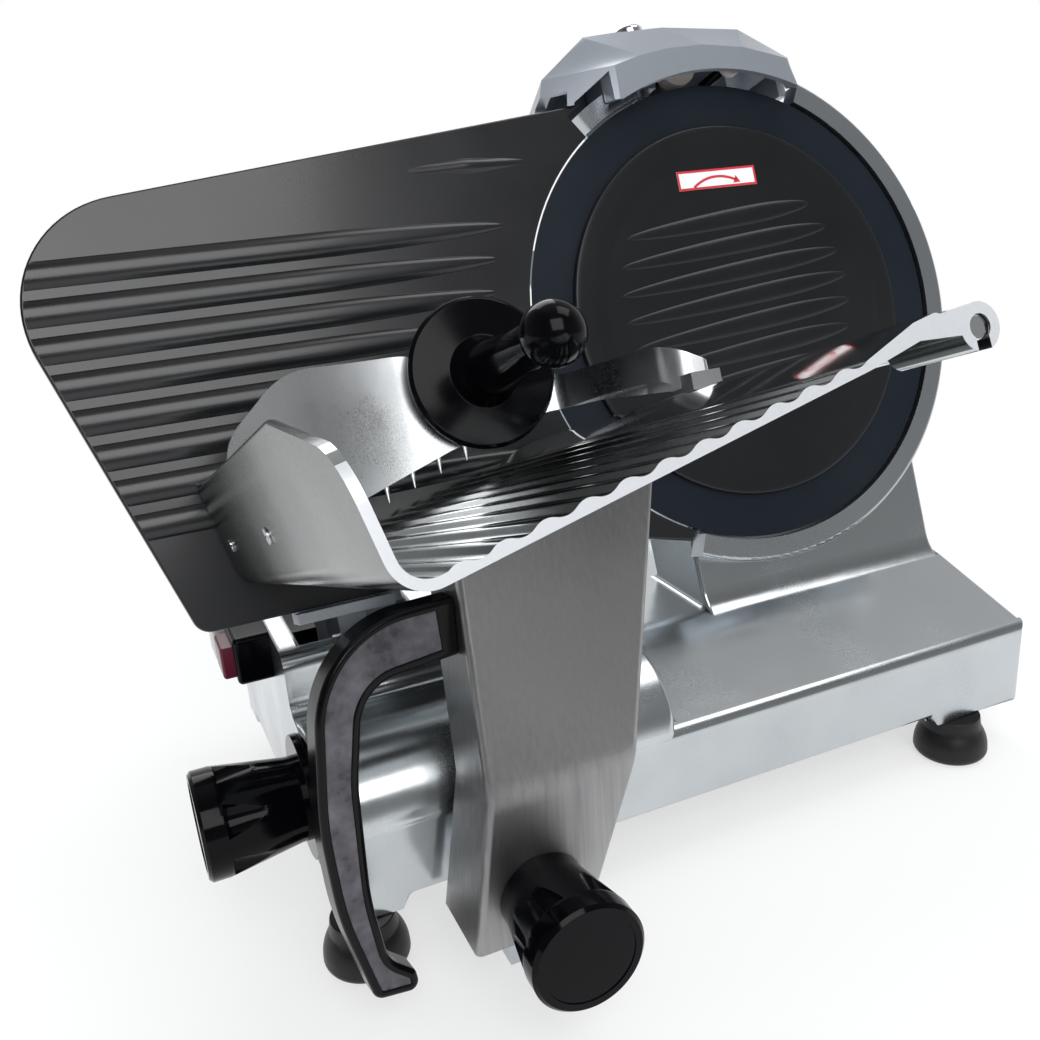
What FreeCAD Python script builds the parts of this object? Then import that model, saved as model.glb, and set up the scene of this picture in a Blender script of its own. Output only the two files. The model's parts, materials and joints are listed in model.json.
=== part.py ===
"""Gravity feed meat slicer with a 250 mm blade, in millimetres, standing on the plane z = 0.

X is the direction the food tray slides, Y points away from the operator and Z points up.
The origin is the middle of the four feet.
"""
import FreeCAD, Part
import math
import os

os.makedirs("parts", exist_ok=True)

V = FreeCAD.Vector
X_AXIS = V(1, 0, 0)
Y_AXIS = V(0, 1, 0)
Z_AXIS = V(0, 0, 1)

# Blade, its tilt and its place
BLADE_RADIUS = 125.0
BLADE_THICKNESS = 2.4
BLADE_TILT = 20.0
BLADE_X = 105.0
BLADE_Y = 7.0
BLADE_Z = 242.0
BLADE_BEVEL = 14.0
COVER_RADIUS = 102.0
COVER_GAP = 0.8
COVER_THICKNESS = 2.6
COVER_DISH_RADIUS = 87.0
COVER_RIB_COUNT = 6
COVER_RIB_PITCH = 15.5
COVER_RIB_TURN = 4.0

# Hub, pulleys and spindle behind the blade
HUB_FLANGE_RADIUS = 45.0
HUB_FLANGE_THICKNESS = 6.6
HUB_RADIUS = 25.0
PULLEY_RADIUS = 45.0
PULLEY_WIDTH = 14.0
PULLEY_START = 28.0
MOTOR_PULLEY_RADIUS = 15.0
BELT_THICKNESS = 3.0
BELT_GAP = 0.3
BEARING_OUTER_RADIUS = 17.5
BEARING_WIDTH = 11.0
SPINDLE_RADIUS = 7.5
SPINDLE_BORE_RADIUS = 4.2
TIE_ROD_RADIUS = 4.0
RUNNING_GAP = 0.05

# Ring guard round the blade
GUARD_GAP = 1.6
GUARD_WIDTH = 12.4
GUARD_WEB = 4.0
GUARD_BORE = 92.0
GUARD_TAIL_BORE = 104.0
GUARD_START = -114.0
GUARD_END = 62.0
GUARD_TAIL_START = 108.0
GUARD_TAIL_END = 124.0
RING_FRONT = 2.0

# Base casting
BASE_LEFT = -180.0
BASE_RIGHT = 213.0
BASE_FRONT = -108.0
BASE_BACK = 116.0
BASE_BOTTOM = 30.0
BASE_WALL = 5.0
SHELF_FRONT_Z = 70.0
SHELF_FRONT_RADIUS = 7.0
SHELF_BACK_Z = 91.0
SHELF_BACK_Y = -38.0
BLOCK_RIGHT = -10.0
SHOULDER_Z = 100.0
SHOULDER_RADIUS = 40.0
STEP_Y = -52.0
STEP_Z = 130.0
CORNER_RADIUS = 6.0
GLAND_Z = 65.0

# Column that carries the blade
COLUMN_LEFT = -54.0
COLUMN_RIGHT = 105.0
COLUMN_FRONT = 10.0
COLUMN_DEPTH = 50.0
COLUMN_WALL = 5.0
COLUMN_TOP = 118.0
COLUMN_FOOT = 172.0
COLUMN_FILLET = 20.0

# Motor
MOTOR_X = 27.0
MOTOR_DROP = 130.0
MOTOR_RADIUS = 34.0
MOTOR_LENGTH = 75.0
MOTOR_SHAFT_RADIUS = 6.0
CAN_START = -70.0
CAN_END = -10.0
CAN_Y = 70.0
CAN_Z = 60.0
CAN_RADIUS = 15.0

# Feet
FOOT_RADIUS = 19.5
FOOT_HEIGHT = 24.0
FOOT_TOP_RADIUS = 14.5
CORNER_DROP_WIDTH = 28.0
FOOT_FRONT_X = 170.0
FOOT_REAR_X = 140.0
FOOT_Y = 101.0
FOOT_RECESS = 9.0
FOOT_SCREW_RADIUS = 3.0
COVER_POST_INSET = 4.0
COVER_POST_HEIGHT = 16.0

# Gauge plate
PLATE_THICKNESS = 6.0
PLATE_TRAVEL = 12.0
PLATE_GAP = 0.9
PLATE_TOP_CLEAR = 63.0
PLATE_TOP_DROP = 5.0
PLATE_RIB_COUNT = 8
PLATE_RIB_PITCH = 16.6
PLATE_RIB_TOP = 57.5
PLATE_BOTTOM_U = -107.6
PLATE_LEFT_X = -359.5
PLATE_LEFT_U = 29.0
PLATE_SLANT = 0.3217
RIB_TIP_RADIUS = 144.0
RIB_RADIUS = 5.0
RIB_HEIGHT = 2.0
SLIDE_SHAFT_RADIUS = 6.0
SLIDE_SHAFT_X = -245.0
SLIDE_SHAFT_U = -148.0

# Thickness knob and its spiral cam
DIAL_Y = -76.0
DIAL_Z = 74.0
DIAL_RADIUS = 28.0
DIAL_THICKNESS = 4.0
DIAL_GAP = 0.6
KNOB_RADIUS = 24.0
KNOB_NECK_RADIUS = 19.0
THICKNESS_KNOB_LENGTH = 45.0
ARM_KNOB_LENGTH = 43.0
KNOB_FLUTES = 6
CAM_RADIUS = 17.5
CAM_THICKNESS = 6.0
CAM_START_RADIUS = 2.6
CAM_TURN = 300.0
PIN_RADIUS = 1.6
PIN_GAP = 0.25
PIN_DEPTH = 2.7
GROOVE_DEPTH = 3.5
PIN_X = -160.0
SPINDLE_SHAFT_RADIUS = 5.0

# Carriage below the base
CARRIAGE_TRAVEL = 232.0
ROD_RADIUS = 7.0
ROD_Y = -62.0
ROD_Z = 43.0
GUIDE_SIZE = 10.0
GUIDE_Y = -20.0
ROLLER_RADIUS = 8.0
LINK_X = -105.0
LINK_WIDTH = 30.0
LINK_BOTTOM = 13.0
LINK_HEIGHT = 12.0
CARRIAGE_LENGTH = 80.0

# Arm that carries the tray
ARM_FRONT_N = 103.0
ARM_FRONT_Y = -155.0
ARM_DEPTH = 38.0
ARM_WALL = 4.5
ARM_BOTTOM_Z = 27.0
ARM_TOP_U = -50.0
ARM_LEFT_BOTTOM = -136.0
ARM_RIGHT_BOTTOM = -84.0
ARM_LEFT_BEND = -125.0
ARM_RIGHT_BEND = -58.0
ARM_LEFT_TOP = -116.0
ARM_RIGHT_TOP = -16.0
ARM_KNOB_Z = 48.0
ARM_BEND_RADIUS = 40.0
STUD_RADIUS = 4.0

# Food tray, a profile that runs square to the blade
TRAY_CORNER_X = -292.4
TRAY_CORNER_U = -92.5
TRAY_TURN = 13.4
TRAY_NEAR = 285.0
TRAY_FAR = 5.0
TRAY_WALL_HEIGHT = 51.0
TRAY_WALL = 2.8
TRAY_FLOOR = 1.9
TRAY_CORNER_RADIUS = 10.0
WAVE_COUNT = 11
WAVE_PITCH = 11.1
WAVE_HEIGHT = 1.5
WAVE_START = 12.0
NECK_S = 152.0
NECK_RISE = 0.7
NECK_THICKNESS = 5.0
HOOK_S = 172.3
HOOK_W = -2.7
HOOK_RADIUS = 6.7
PUSHER_ROD_RADIUS = 3.5
LUG_LENGTH = 30.0
SLOPE_START = 226.0
SLOPE_LOW = 35.5
ARM_FLANGE = 4.0
ROD_ROOM = 0.8

# Pusher
PUSHER_X = -180.0
PUSHER_U = -18.7
PUSHER_FACE_N = 52.0
PUSHER_PLATE = 4.0
SPIKE_COUNT = 9
SPIKE_RADIUS = 1.4
SPIKE_FIRST_X = -282.0
SPIKE_PITCH = 12.8
SLEEVE_N = 141.0
SLEEVE_LENGTH = 26.0
SLEEVE_RADIUS = 7.0
DISC_RADIUS = 34.0
DISC_THICKNESS = 5.0
STEM_RADIUS = 9.0
BALL_RADIUS = 13.0
BALL_N = 141.0

# Handle on the arm
HANDLE_DEPTH = 13.0
HANDLE_X = -184.0
HANDLE_Y = -143.5
HANDLE_TURN = 5.0
HANDLE_LEAN = 10.0
HANDLE_END = 84.0
INLAY_END = 61.2
HANDLE_BORDER = 3.4
INSERT_DEPTH = 1.6

# Sharpener above the blade
SHARPENER_FRONT = 15.0
SHARPENER_BACK = 52.0
SHARPENER_MID = 5.0
SHARPENER_WALL = 3.5
SHARPENER_TRAVEL = 6.0
SHARPENER_POST_X = -27.0
SHARPENER_POST_N = -16.0
SHARPENER_POST_RADIUS = 5.0
SHARPENER_POST_TOP = 141.0
BRIDGE_LOW = 129.5
SHARPENER_SEAT = 156.5
SHANK_RADIUS = 2.5
CLAMP_HEAD_RADIUS = 8.5
CLAMP_HEAD_HEIGHT = 8.5
GRINDER_RADIUS = 11.0
GRINDER_X = -8.0
GRINDER_U = 138.5
DEBURRER_RADIUS = 6.5
DEBURRER_X = 20.0
DEBURRER_U = 134.0
STONE_SHAFT_RADIUS = 3.0
STONE_BUTTON_RADIUS = 5.5

# Switch on the left end
SWITCH_Y = 2.0
SWITCH_Z = 118.0
SWITCH_WIDTH = 46.0
SWITCH_HEIGHT = 24.0
SWITCH_DEPTH = 17.0
CONTACT_HALF_WIDTH = 16.8
CONTACT_HALF_HEIGHT = 6.5
BUTTON_TRAVEL = 3.0

BLADE_CENTRE = V(BLADE_X, BLADE_Y, BLADE_Z)
BLADE_PLACE = FreeCAD.Placement(BLADE_CENTRE, FreeCAD.Rotation(X_AXIS, 90.0 - BLADE_TILT))
TILT = math.radians(BLADE_TILT)


def save(name, *shapes):
    """Write one node: a single solid, or a group of separate solids."""
    solids = [solid for shape in shapes for solid in shape.Solids]
    shape = solids[0] if len(solids) == 1 else Part.makeCompound(solids)
    if not shape.isValid():
        print("not valid:", name)
    print(name, len(solids), "solids", round(sum(solid.Volume for solid in solids) / 1000.0, 2), "cm3")
    shape.exportStep("parts/" + name + ".step")


def tilted(shape):
    """Move a shape from blade coordinates (x, u up the blade, n towards the operator) to its place."""
    placed = shape.copy()
    placed.Placement = BLADE_PLACE.multiply(placed.Placement)
    return placed


def blade_point(x, u, n):
    """A point of blade coordinates, in the part's frame."""
    return BLADE_PLACE.multVec(V(x, u, n))


def box(x0, x1, y0, y1, z0, z1):
    return Part.makeBox(x1 - x0, y1 - y0, z1 - z0, V(x0, y0, z0))


def rod(radius, start, end):
    """A cylinder between two points."""
    run = end.sub(start)
    return Part.makeCylinder(radius, run.Length, start, run)


def tube(outer, inner, start, end):
    return rod(outer, start, end).cut(rod(inner, start, end))


def corner_arcs(corners, closed):
    """Entry, middle and leave points of the arc at each corner (x, y, radius)."""
    arcs = []
    count = len(corners)
    for index, (x, y, radius) in enumerate(corners):
        here = V(x, y, 0)
        at_end = not closed and index in (0, count - 1)
        if radius <= 0 or at_end:
            arcs.append((here, None, here))
            continue
        last = corners[index - 1]
        following = corners[(index + 1) % count]
        before = V(last[0], last[1], 0).sub(here).normalize()
        after = V(following[0], following[1], 0).sub(here).normalize()
        half = before.getAngle(after) / 2.0
        reach = radius / math.tan(half)
        bisector = (before + after).normalize()
        centre = here + bisector * (radius / math.sin(half))
        arcs.append((here + before * reach, centre - bisector * radius, here + after * reach))
    return arcs


def rounded_wire(corners, closed=True):
    """Wire in the XY plane through corners (x, y, radius)."""
    arcs = corner_arcs(corners, closed)
    edges = []
    for index, (entry, middle, leave) in enumerate(arcs):
        previous_leave = arcs[index - 1][2]
        joins = closed or index > 0
        if joins and previous_leave.sub(entry).Length > 1e-6:
            edges.append(Part.LineSegment(previous_leave, entry).toShape())
        if middle is not None:
            edges.append(Part.Arc(entry, middle, leave).toShape())
    return Part.Wire(edges)


def prism(corners, low, high):
    """A solid with a rounded outline in XY, from z = low to z = high."""
    solid = Part.Face(rounded_wire(corners)).extrude(V(0, 0, high - low))
    solid.translate(V(0, 0, low))
    return solid


def side_prism(corners, x0, x1):
    """A solid with an outline of (y, z, radius) corners, from x0 to x1."""
    solid = prism(corners, 0, x1 - x0)
    solid.Placement = FreeCAD.Placement(V(x0, 0, 0), FreeCAD.Rotation(Y_AXIS, Z_AXIS, X_AXIS, "XYZ"))
    return solid


def front_prism(corners, y0, y1):
    """A solid with an outline of (x, z, radius) corners, from y0 to y1."""
    solid = prism(corners, 0, y1 - y0)
    solid.Placement = FreeCAD.Placement(V(0, y1, 0), FreeCAD.Rotation(X_AXIS, Z_AXIS, V(0, -1, 0), "XYZ"))
    return solid


def fuse(shapes):
    result = shapes[0]
    if len(shapes) > 1:
        result = result.multiFuse(shapes[1:])
    return result.removeSplitter()


def fillet_where(shape, radius, test):
    """Round the edges whose middle point and length pass a test."""
    edges = []
    for edge in shape.Edges:
        middle = edge.valueAt((edge.FirstParameter + edge.LastParameter) / 2.0)
        if test(middle, edge):
            edges.append(edge)
    return shape.makeFillet(radius, edges)


def pan_screw(place, direction, shank_radius, length, head_radius, head_height):
    """A pan head screw: place is under the head, and the shank runs along direction."""
    head = rod(head_radius, place, place - direction * head_height)
    shank = rod(shank_radius, place, place + direction * length)
    slot = Part.makeBox(head_radius * 3, head_radius * 0.3, head_height * 0.5)
    slot.translate(V(-head_radius * 1.5, -head_radius * 0.15, -head_height))
    slot.Placement = FreeCAD.Placement(place, FreeCAD.Rotation(Z_AXIS, direction)).multiply(slot.Placement)
    return head.fuse(shank).removeSplitter().cut(slot)


def ring_points(count, radius, start=0.0):
    """Points spaced evenly on a circle in the XY plane."""
    angles = [math.radians(start + 360.0 * index / count) for index in range(count)]
    return [V(radius * math.cos(angle), radius * math.sin(angle), 0) for angle in angles]


# Places worked out from the sizes above
GUARD_INNER = BLADE_RADIUS + GUARD_GAP
GUARD_OUTER = GUARD_INNER + GUARD_WIDTH
COVER_FRONT_N = COVER_GAP + COVER_THICKNESS
HUB_BACK_N = -BLADE_THICKNESS - HUB_FLANGE_THICKNESS
PULLEY_END = PULLEY_START + PULLEY_WIDTH
COLUMN_BACK = COLUMN_FRONT + COLUMN_DEPTH
MOTOR_AXIS_U = -MOTOR_DROP
CAM_RIGHT = BASE_LEFT + BASE_WALL + 4.0 + CAM_THICKNESS
HUB_SCREW_RADIUS = 2.5
HUB_SCREW_CIRCLE = 35.0
SCREW_RADIUS = 2.0
SCREW_HEAD = 4.0
SCREW_HEAD_HEIGHT = 2.2

# Screws and pins that stay in the casting, gathered as the parts are made
casting_screws = []


def spear_rib(x0, x1, y, surface, left_taper, right_taper):
    """A low rib along X with pointed ends, standing RIB_HEIGHT above a surface."""
    centre = surface + RIB_HEIGHT - RIB_RADIUS
    tip = RIB_RADIUS - RIB_HEIGHT
    body = Part.makeCylinder(RIB_RADIUS, x1 - x0 - left_taper - right_taper,
                             V(x0 + left_taper, y, centre), X_AXIS)
    left = Part.makeCone(tip, RIB_RADIUS, left_taper, V(x0, y, centre), X_AXIS)
    right = Part.makeCone(RIB_RADIUS, tip, right_taper, V(x1 - right_taper, y, centre), X_AXIS)
    rib = body.multiFuse([left, right])
    keep = Part.makeBox(x1 - x0 + 20, 4 * RIB_RADIUS, 2 * RIB_HEIGHT + 1.0,
                        V(x0 - 10, y - 2 * RIB_RADIUS, surface - 1.0))
    return rib.common(keep)


def make_blade():
    rim = 0.5
    profile = Part.makePolygon([
        V(SPINDLE_RADIUS + 12.5, 0, -BLADE_THICKNESS), V(SPINDLE_RADIUS + 12.5, 0, 0), V(BLADE_RADIUS, 0, 0),
        V(BLADE_RADIUS, 0, -rim), V(BLADE_RADIUS - BLADE_BEVEL, 0, -BLADE_THICKNESS),
        V(SPINDLE_RADIUS + 12.5, 0, -BLADE_THICKNESS)])
    disc = Part.Face(profile).revolve(V(0, 0, 0), Z_AXIS, 360)
    for point in ring_points(3, HUB_SCREW_CIRCLE, 90):
        disc = disc.cut(Part.makeCone(HUB_SCREW_RADIUS, HUB_SCREW_RADIUS + BLADE_THICKNESS, BLADE_THICKNESS,
                                      point - Z_AXIS * BLADE_THICKNESS, Z_AXIS))
    save("blade", tilted(disc))
    screws = []
    for point in ring_points(3, HUB_SCREW_CIRCLE, 90):
        head = Part.makeCone(HUB_SCREW_RADIUS, HUB_SCREW_RADIUS + BLADE_THICKNESS, BLADE_THICKNESS,
                             point - Z_AXIS * BLADE_THICKNESS, Z_AXIS)
        shank = rod(HUB_SCREW_RADIUS, point - Z_AXIS * BLADE_THICKNESS, point + Z_AXIS * (HUB_BACK_N + 1.0))
        screws.append(tilted(head.fuse(shank).removeSplitter()))
    save("blade_screws", *screws)


def make_blade_pulley():
    """The flange that the blade is screwed to, with the grooved pulley behind it."""
    flange = rod(HUB_FLANGE_RADIUS, V(0, 0, -BLADE_THICKNESS), V(0, 0, HUB_BACK_N))
    barrel = rod(HUB_RADIUS, V(0, 0, HUB_BACK_N), V(0, 0, -PULLEY_END))
    wheel = rod(PULLEY_RADIUS, V(0, 0, -PULLEY_START), V(0, 0, -PULLEY_END))
    hub = fuse([flange, barrel, wheel])
    hub = hub.cut(rod(BEARING_OUTER_RADIUS, V(0, 0, -12.0), V(0, 0, -PULLEY_END)))
    hub = hub.cut(rod(SPINDLE_RADIUS + 4, V(0, 0, 0), V(0, 0, -12.0)))
    for point in ring_points(3, HUB_SCREW_CIRCLE, 90):
        hub = hub.cut(rod(HUB_SCREW_RADIUS, point, point + Z_AXIS * (HUB_BACK_N + 1.0)))
    save("blade_pulley", tilted(hub))


def make_blade_spindle():
    """The fixed hollow spindle, its flange on the back wall of the column, and its two bearings."""
    wall = -COLUMN_BACK + COLUMN_WALL
    shaft = rod(SPINDLE_RADIUS, V(0, 0, -9.0), V(0, 0, wall))
    flange = rod(22.0, V(0, 0, wall + 6.0), V(0, 0, wall))
    spindle = fuse([shaft, flange]).cut(rod(SPINDLE_BORE_RADIUS, V(0, 0, 0), V(0, 0, wall)))
    for point in ring_points(4, 16.0, 45):
        place = point + Z_AXIS * (wall + 6.0)
        spindle = spindle.cut(rod(SCREW_RADIUS, place, place - Z_AXIS * 6.0))
        casting_screws.append(tilted(pan_screw(place, Z_AXIS * -1, SCREW_RADIUS, 9.0, SCREW_HEAD - 0.6, 2.0)))
    save("blade_spindle", tilted(spindle))
    bearings = []
    for front in (-12.0, -PULLEY_END + BEARING_WIDTH + 2.0):
        bearings.append(tilted(tube(BEARING_OUTER_RADIUS - RUNNING_GAP, SPINDLE_RADIUS,
                                    V(0, 0, front), V(0, 0, front - BEARING_WIDTH))))
    save("blade_bearings", *bearings)


def make_blade_cover():
    """The ribbed disc in front of the blade, drawn back by a tie rod through the spindle."""
    disc = rod(COVER_RADIUS, V(0, 0, COVER_GAP), V(0, 0, COVER_FRONT_N))
    disc = fillet_where(disc, 1.2, lambda middle, edge: abs(middle.z - COVER_FRONT_N) < 0.01)
    dish = Part.makeCone(COVER_DISH_RADIUS, COVER_DISH_RADIUS - 3.0, 1.2, V(0, 0, COVER_FRONT_N), Z_AXIS * -1)
    disc = disc.cut(dish)
    surface = COVER_FRONT_N - 1.2
    ribs = []
    for index in range(COVER_RIB_COUNT):
        height = COVER_RIB_PITCH * (COVER_RIB_COUNT / 2.0 - index - 0.5) + 13.0
        reach = math.sqrt((COVER_DISH_RADIUS - 8.0) ** 2 - height ** 2)
        ribs.append(spear_rib(-reach, reach, height, surface, 45.0, 45.0))
    for rib in ribs:
        rib.rotate(V(0, 0, 0), Z_AXIS, COVER_RIB_TURN)
    boss = rod(SPINDLE_RADIUS + 3, V(0, 0, COVER_GAP), V(0, 0, -9.0))
    cover = fuse([disc, boss] + ribs)
    cover = cover.cut(rod(TIE_ROD_RADIUS + RUNNING_GAP, V(0, 0, -9.0), V(0, 0, COVER_GAP + 0.2)))
    save("blade_cover", tilted(cover))


def make_tie_rod():
    """The long screw that draws the blade cover back, and its knob behind the column."""
    back = -COLUMN_BACK
    rod_shape = rod(TIE_ROD_RADIUS, V(0, 0, COVER_GAP), V(0, 0, back - 14.0))
    save("cover_tie_rod", tilted(rod_shape))
    knob = rod(15.0, V(0, 0, back - 1.0), V(0, 0, back - 20.0))
    knob = fillet_where(knob, 1.0, lambda middle, edge: abs(middle.z - (back - 20.0)) < 0.01)
    for point in ring_points(8, 17.5):
        knob = knob.cut(rod(4.0, point + Z_AXIS * back, point + Z_AXIS * (back - 21.0)))
    knob = knob.cut(rod(TIE_ROD_RADIUS, V(0, 0, back), V(0, 0, back - 14.0)))
    save("cover_tie_knob", tilted(knob))


def sector(radius, start, end, low, high):
    """A solid slice of a disc between two angles."""
    return Part.makeCylinder(radius, high - low, V(0, 0, low), Z_AXIS, end - start).rotated(
        V(0, 0, 0), Z_AXIS, start)


def make_guard_ring():
    """The bright ring round the blade with its web on the column."""
    web_back = -COLUMN_FRONT
    web_front = web_back + GUARD_WEB
    outer = sector(GUARD_OUTER, GUARD_START, GUARD_END, web_back, RING_FRONT)
    outer = outer.cut(rod(GUARD_INNER, V(0, 0, web_front), V(0, 0, RING_FRONT + 1)))
    outer = outer.cut(rod(GUARD_BORE, V(0, 0, web_back - 1), V(0, 0, RING_FRONT + 1)))
    tail = sector(GUARD_OUTER - 2.0, GUARD_TAIL_START, GUARD_TAIL_END, web_back, RING_FRONT)
    tail = tail.cut(rod(GUARD_INNER, V(0, 0, web_front), V(0, 0, RING_FRONT + 1)))
    tail = tail.cut(rod(GUARD_TAIL_BORE, V(0, 0, web_back - 1), V(0, 0, RING_FRONT + 1)))
    outer = fillet_where(outer, 2.5, lambda middle, edge: abs(middle.z - RING_FRONT) < 0.01
                         and abs(math.hypot(middle.x, middle.y) - GUARD_OUTER) < 0.01)
    spots = []
    for angle, radius in ((-60.0, 98.0), (-25.0, 98.0), (20.0, 98.0), (52.0, 98.0), (109.3, 112.0)):
        spot = V(radius * math.cos(math.radians(angle)), radius * math.sin(math.radians(angle)), web_front)
        outer = outer.cut(rod(SCREW_RADIUS, spot, spot - Z_AXIS * GUARD_WEB))
        tail = tail.cut(rod(SCREW_RADIUS, spot, spot - Z_AXIS * GUARD_WEB))
        casting_screws.append(tilted(pan_screw(spot, Z_AXIS * -1, SCREW_RADIUS, GUARD_WEB + 4.0,
                                               SCREW_HEAD, 1.8)))
        spots.append(spot)
    save("blade_guard_ring", tilted(outer), tilted(tail))
    return spots


def column_outline(inset):
    """Outline of the column in x and u, drawn in by a wall."""
    left = COLUMN_LEFT + inset
    right = COLUMN_RIGHT - inset
    top = COLUMN_TOP - inset
    return [(left, -COLUMN_FOOT, 0), (right, -COLUMN_FOOT, 0), (right, -30.0, 40.0 - inset),
            (50.0 - inset * 0.6, top, 6.0), (-42.0 + inset, top, 6.0), (left, 40.0, 30.0)]


def motor_outline(inset):
    half = MOTOR_RADIUS + 9.0 - inset
    return [(MOTOR_X - half, -COLUMN_FOOT, 0), (MOTOR_X + half, -COLUMN_FOOT, 0),
            (MOTOR_X + half, -MOTOR_DROP + half, 20.0 - inset),
            (MOTOR_X - half, -MOTOR_DROP + half, 20.0 - inset)]


def base_sections(inset):
    """Side outlines (y, z, radius) of the shelf and of the left block, drawn in by a wall."""
    front = BASE_FRONT + inset
    back = BASE_BACK - inset
    bottom = BASE_BOTTOM - (1.0 if inset else 0.0)
    shelf = [(front, bottom, 0), (front, SHELF_FRONT_Z - inset, SHELF_FRONT_RADIUS - inset),
             (SHELF_BACK_Y, SHELF_BACK_Z - inset, 30.0), (back, SHELF_BACK_Z - inset, 14.0 - inset),
             (back, bottom, 0)]
    block = [(front, bottom, 0), (front, SHOULDER_Z - inset, SHOULDER_RADIUS - inset),
             (STEP_Y + inset, SHOULDER_Z - inset + 2.0, 8.0), (STEP_Y + inset, STEP_Z - inset, 8.0 - inset),
             (back, STEP_Z - inset, 20.0 - inset), (back, bottom, 0)]
    return shelf, block


def rounded_box_corners(x0, x1, y0, y1, radius, low, high):
    return prism([(x0, y0, radius), (x1, y0, radius), (x1, y1, radius), (x0, y1, radius)], low, high)


def column_foot_fillet():
    """The hollow curve where the column's front face runs out into the shelf."""
    slope = V(0, SHELF_BACK_Y - BASE_FRONT, SHELF_BACK_Z - SHELF_FRONT_Z).normalize()
    rise = blade_point(0, 1, 0).sub(blade_point(0, 0, 0))
    top = blade_point(0, -COLUMN_FOOT, -COLUMN_FRONT)
    corner = top + rise * ((SHELF_BACK_Z - top.z) / rise.z)
    corner = V(0, corner.y, corner.z)
    half = rise.getAngle(slope * -1) / 2.0
    reach = COLUMN_FILLET / math.tan(half)
    middle = (rise - slope).normalize() * (COLUMN_FILLET / math.sin(half) - COLUMN_FILLET)
    low = corner - slope * reach
    high = corner + rise * reach
    deep = corner - V(0, -6.0, 6.0)
    wire = Part.Wire([Part.Arc(low, corner + middle, high).toShape(), Part.LineSegment(high, deep).toShape(),
                      Part.LineSegment(deep, low).toShape()])
    filler = Part.Face(wire).extrude(X_AXIS * (COLUMN_RIGHT - COLUMN_LEFT))
    filler.translate(X_AXIS * (BLADE_X + COLUMN_LEFT))
    return filler


def make_base(ring_screw_spots):
    """The casting: shelf, left block, column and motor housing in one hollow piece, open below."""
    shelf, block = base_sections(0.0)
    shelf_in, block_in = base_sections(BASE_WALL)
    height = STEP_Z + 10.0
    footprint = rounded_box_corners(BASE_LEFT, BASE_RIGHT, BASE_FRONT, BASE_BACK, CORNER_RADIUS, 0, height)
    block_print = rounded_box_corners(BASE_LEFT, BLOCK_RIGHT, BASE_FRONT, BASE_BACK, CORNER_RADIUS, 0, height)
    shelf_solid = side_prism(shelf, BASE_LEFT, BASE_RIGHT).common(footprint)
    block_solid = side_prism(block, BASE_LEFT, BLOCK_RIGHT).common(block_print)
    column = tilted(prism(column_outline(0.0), -COLUMN_BACK, -COLUMN_FRONT))
    motor_back = -COLUMN_BACK - MOTOR_LENGTH - 12.0
    housing = tilted(prism(motor_outline(0.0), motor_back, -COLUMN_BACK + 1.0))
    ground = box(-500, 500, -500, 500, -300, BASE_BOTTOM)
    outer = fuse([shelf_solid, block_solid, column.cut(ground), housing.cut(ground), column_foot_fillet()])

    inner_corner = CORNER_RADIUS - BASE_WALL
    inner_print = rounded_box_corners(BASE_LEFT + BASE_WALL, BASE_RIGHT - BASE_WALL, BASE_FRONT + BASE_WALL,
                                      BASE_BACK - BASE_WALL, inner_corner, 0, height)
    inner_block_print = rounded_box_corners(BASE_LEFT + BASE_WALL, BLOCK_RIGHT - BASE_WALL,
                                            BASE_FRONT + BASE_WALL, BASE_BACK - BASE_WALL, inner_corner,
                                            0, height)
    shelf_hollow = side_prism(shelf_in, BASE_LEFT, BASE_RIGHT).common(inner_print)
    block_hollow = side_prism(block_in, BASE_LEFT, BLOCK_RIGHT).common(inner_block_print)
    column_hollow = tilted(prism(column_outline(COLUMN_WALL), -COLUMN_BACK + COLUMN_WALL,
                                 -COLUMN_FRONT - COLUMN_WALL))
    housing_hollow = tilted(prism(motor_outline(4.0), motor_back + 4.0, -COLUMN_BACK))
    low = BASE_BOTTOM + 12.0
    floor_cut = box(-500, 500, -500, 500, -300, low)
    base = outer.cut(shelf_hollow)
    base = base.cut(block_hollow)
    base = base.cut(column_hollow.cut(floor_cut))
    base = base.cut(housing_hollow.cut(floor_cut))

    base = base.cut(tilted(rod(HUB_FLANGE_RADIUS + 9.0, V(0, 0, 0), V(0, 0, -COLUMN_FRONT - COLUMN_WALL))))
    wall = -COLUMN_BACK + COLUMN_WALL
    base = base.cut(tilted(rod(TIE_ROD_RADIUS + 0.5, V(0, 0, wall + 1), V(0, 0, wall - 7))))
    for point in ring_points(4, 16.0, 45):
        base = base.cut(tilted(rod(SCREW_RADIUS, point + Z_AXIS * wall, point + Z_AXIS * (wall - 3.0))))
    base = base.cut(tilted(rod(MOTOR_SHAFT_RADIUS + 4.0, V(MOTOR_X, MOTOR_AXIS_U, wall + 1),
                               V(MOTOR_X, MOTOR_AXIS_U, wall - 6))))
    for point in ring_points(4, MOTOR_RADIUS - 7.0, 45):
        spot = point + V(MOTOR_X, MOTOR_AXIS_U, wall)
        base = base.cut(tilted(rod(SCREW_RADIUS, spot, spot - Z_AXIS * COLUMN_WALL)))
    for spot in ring_screw_spots:
        base = base.cut(tilted(rod(SCREW_RADIUS, spot, spot - Z_AXIS * (GUARD_WEB + 4.0))))
    return base, block_hollow


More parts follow.
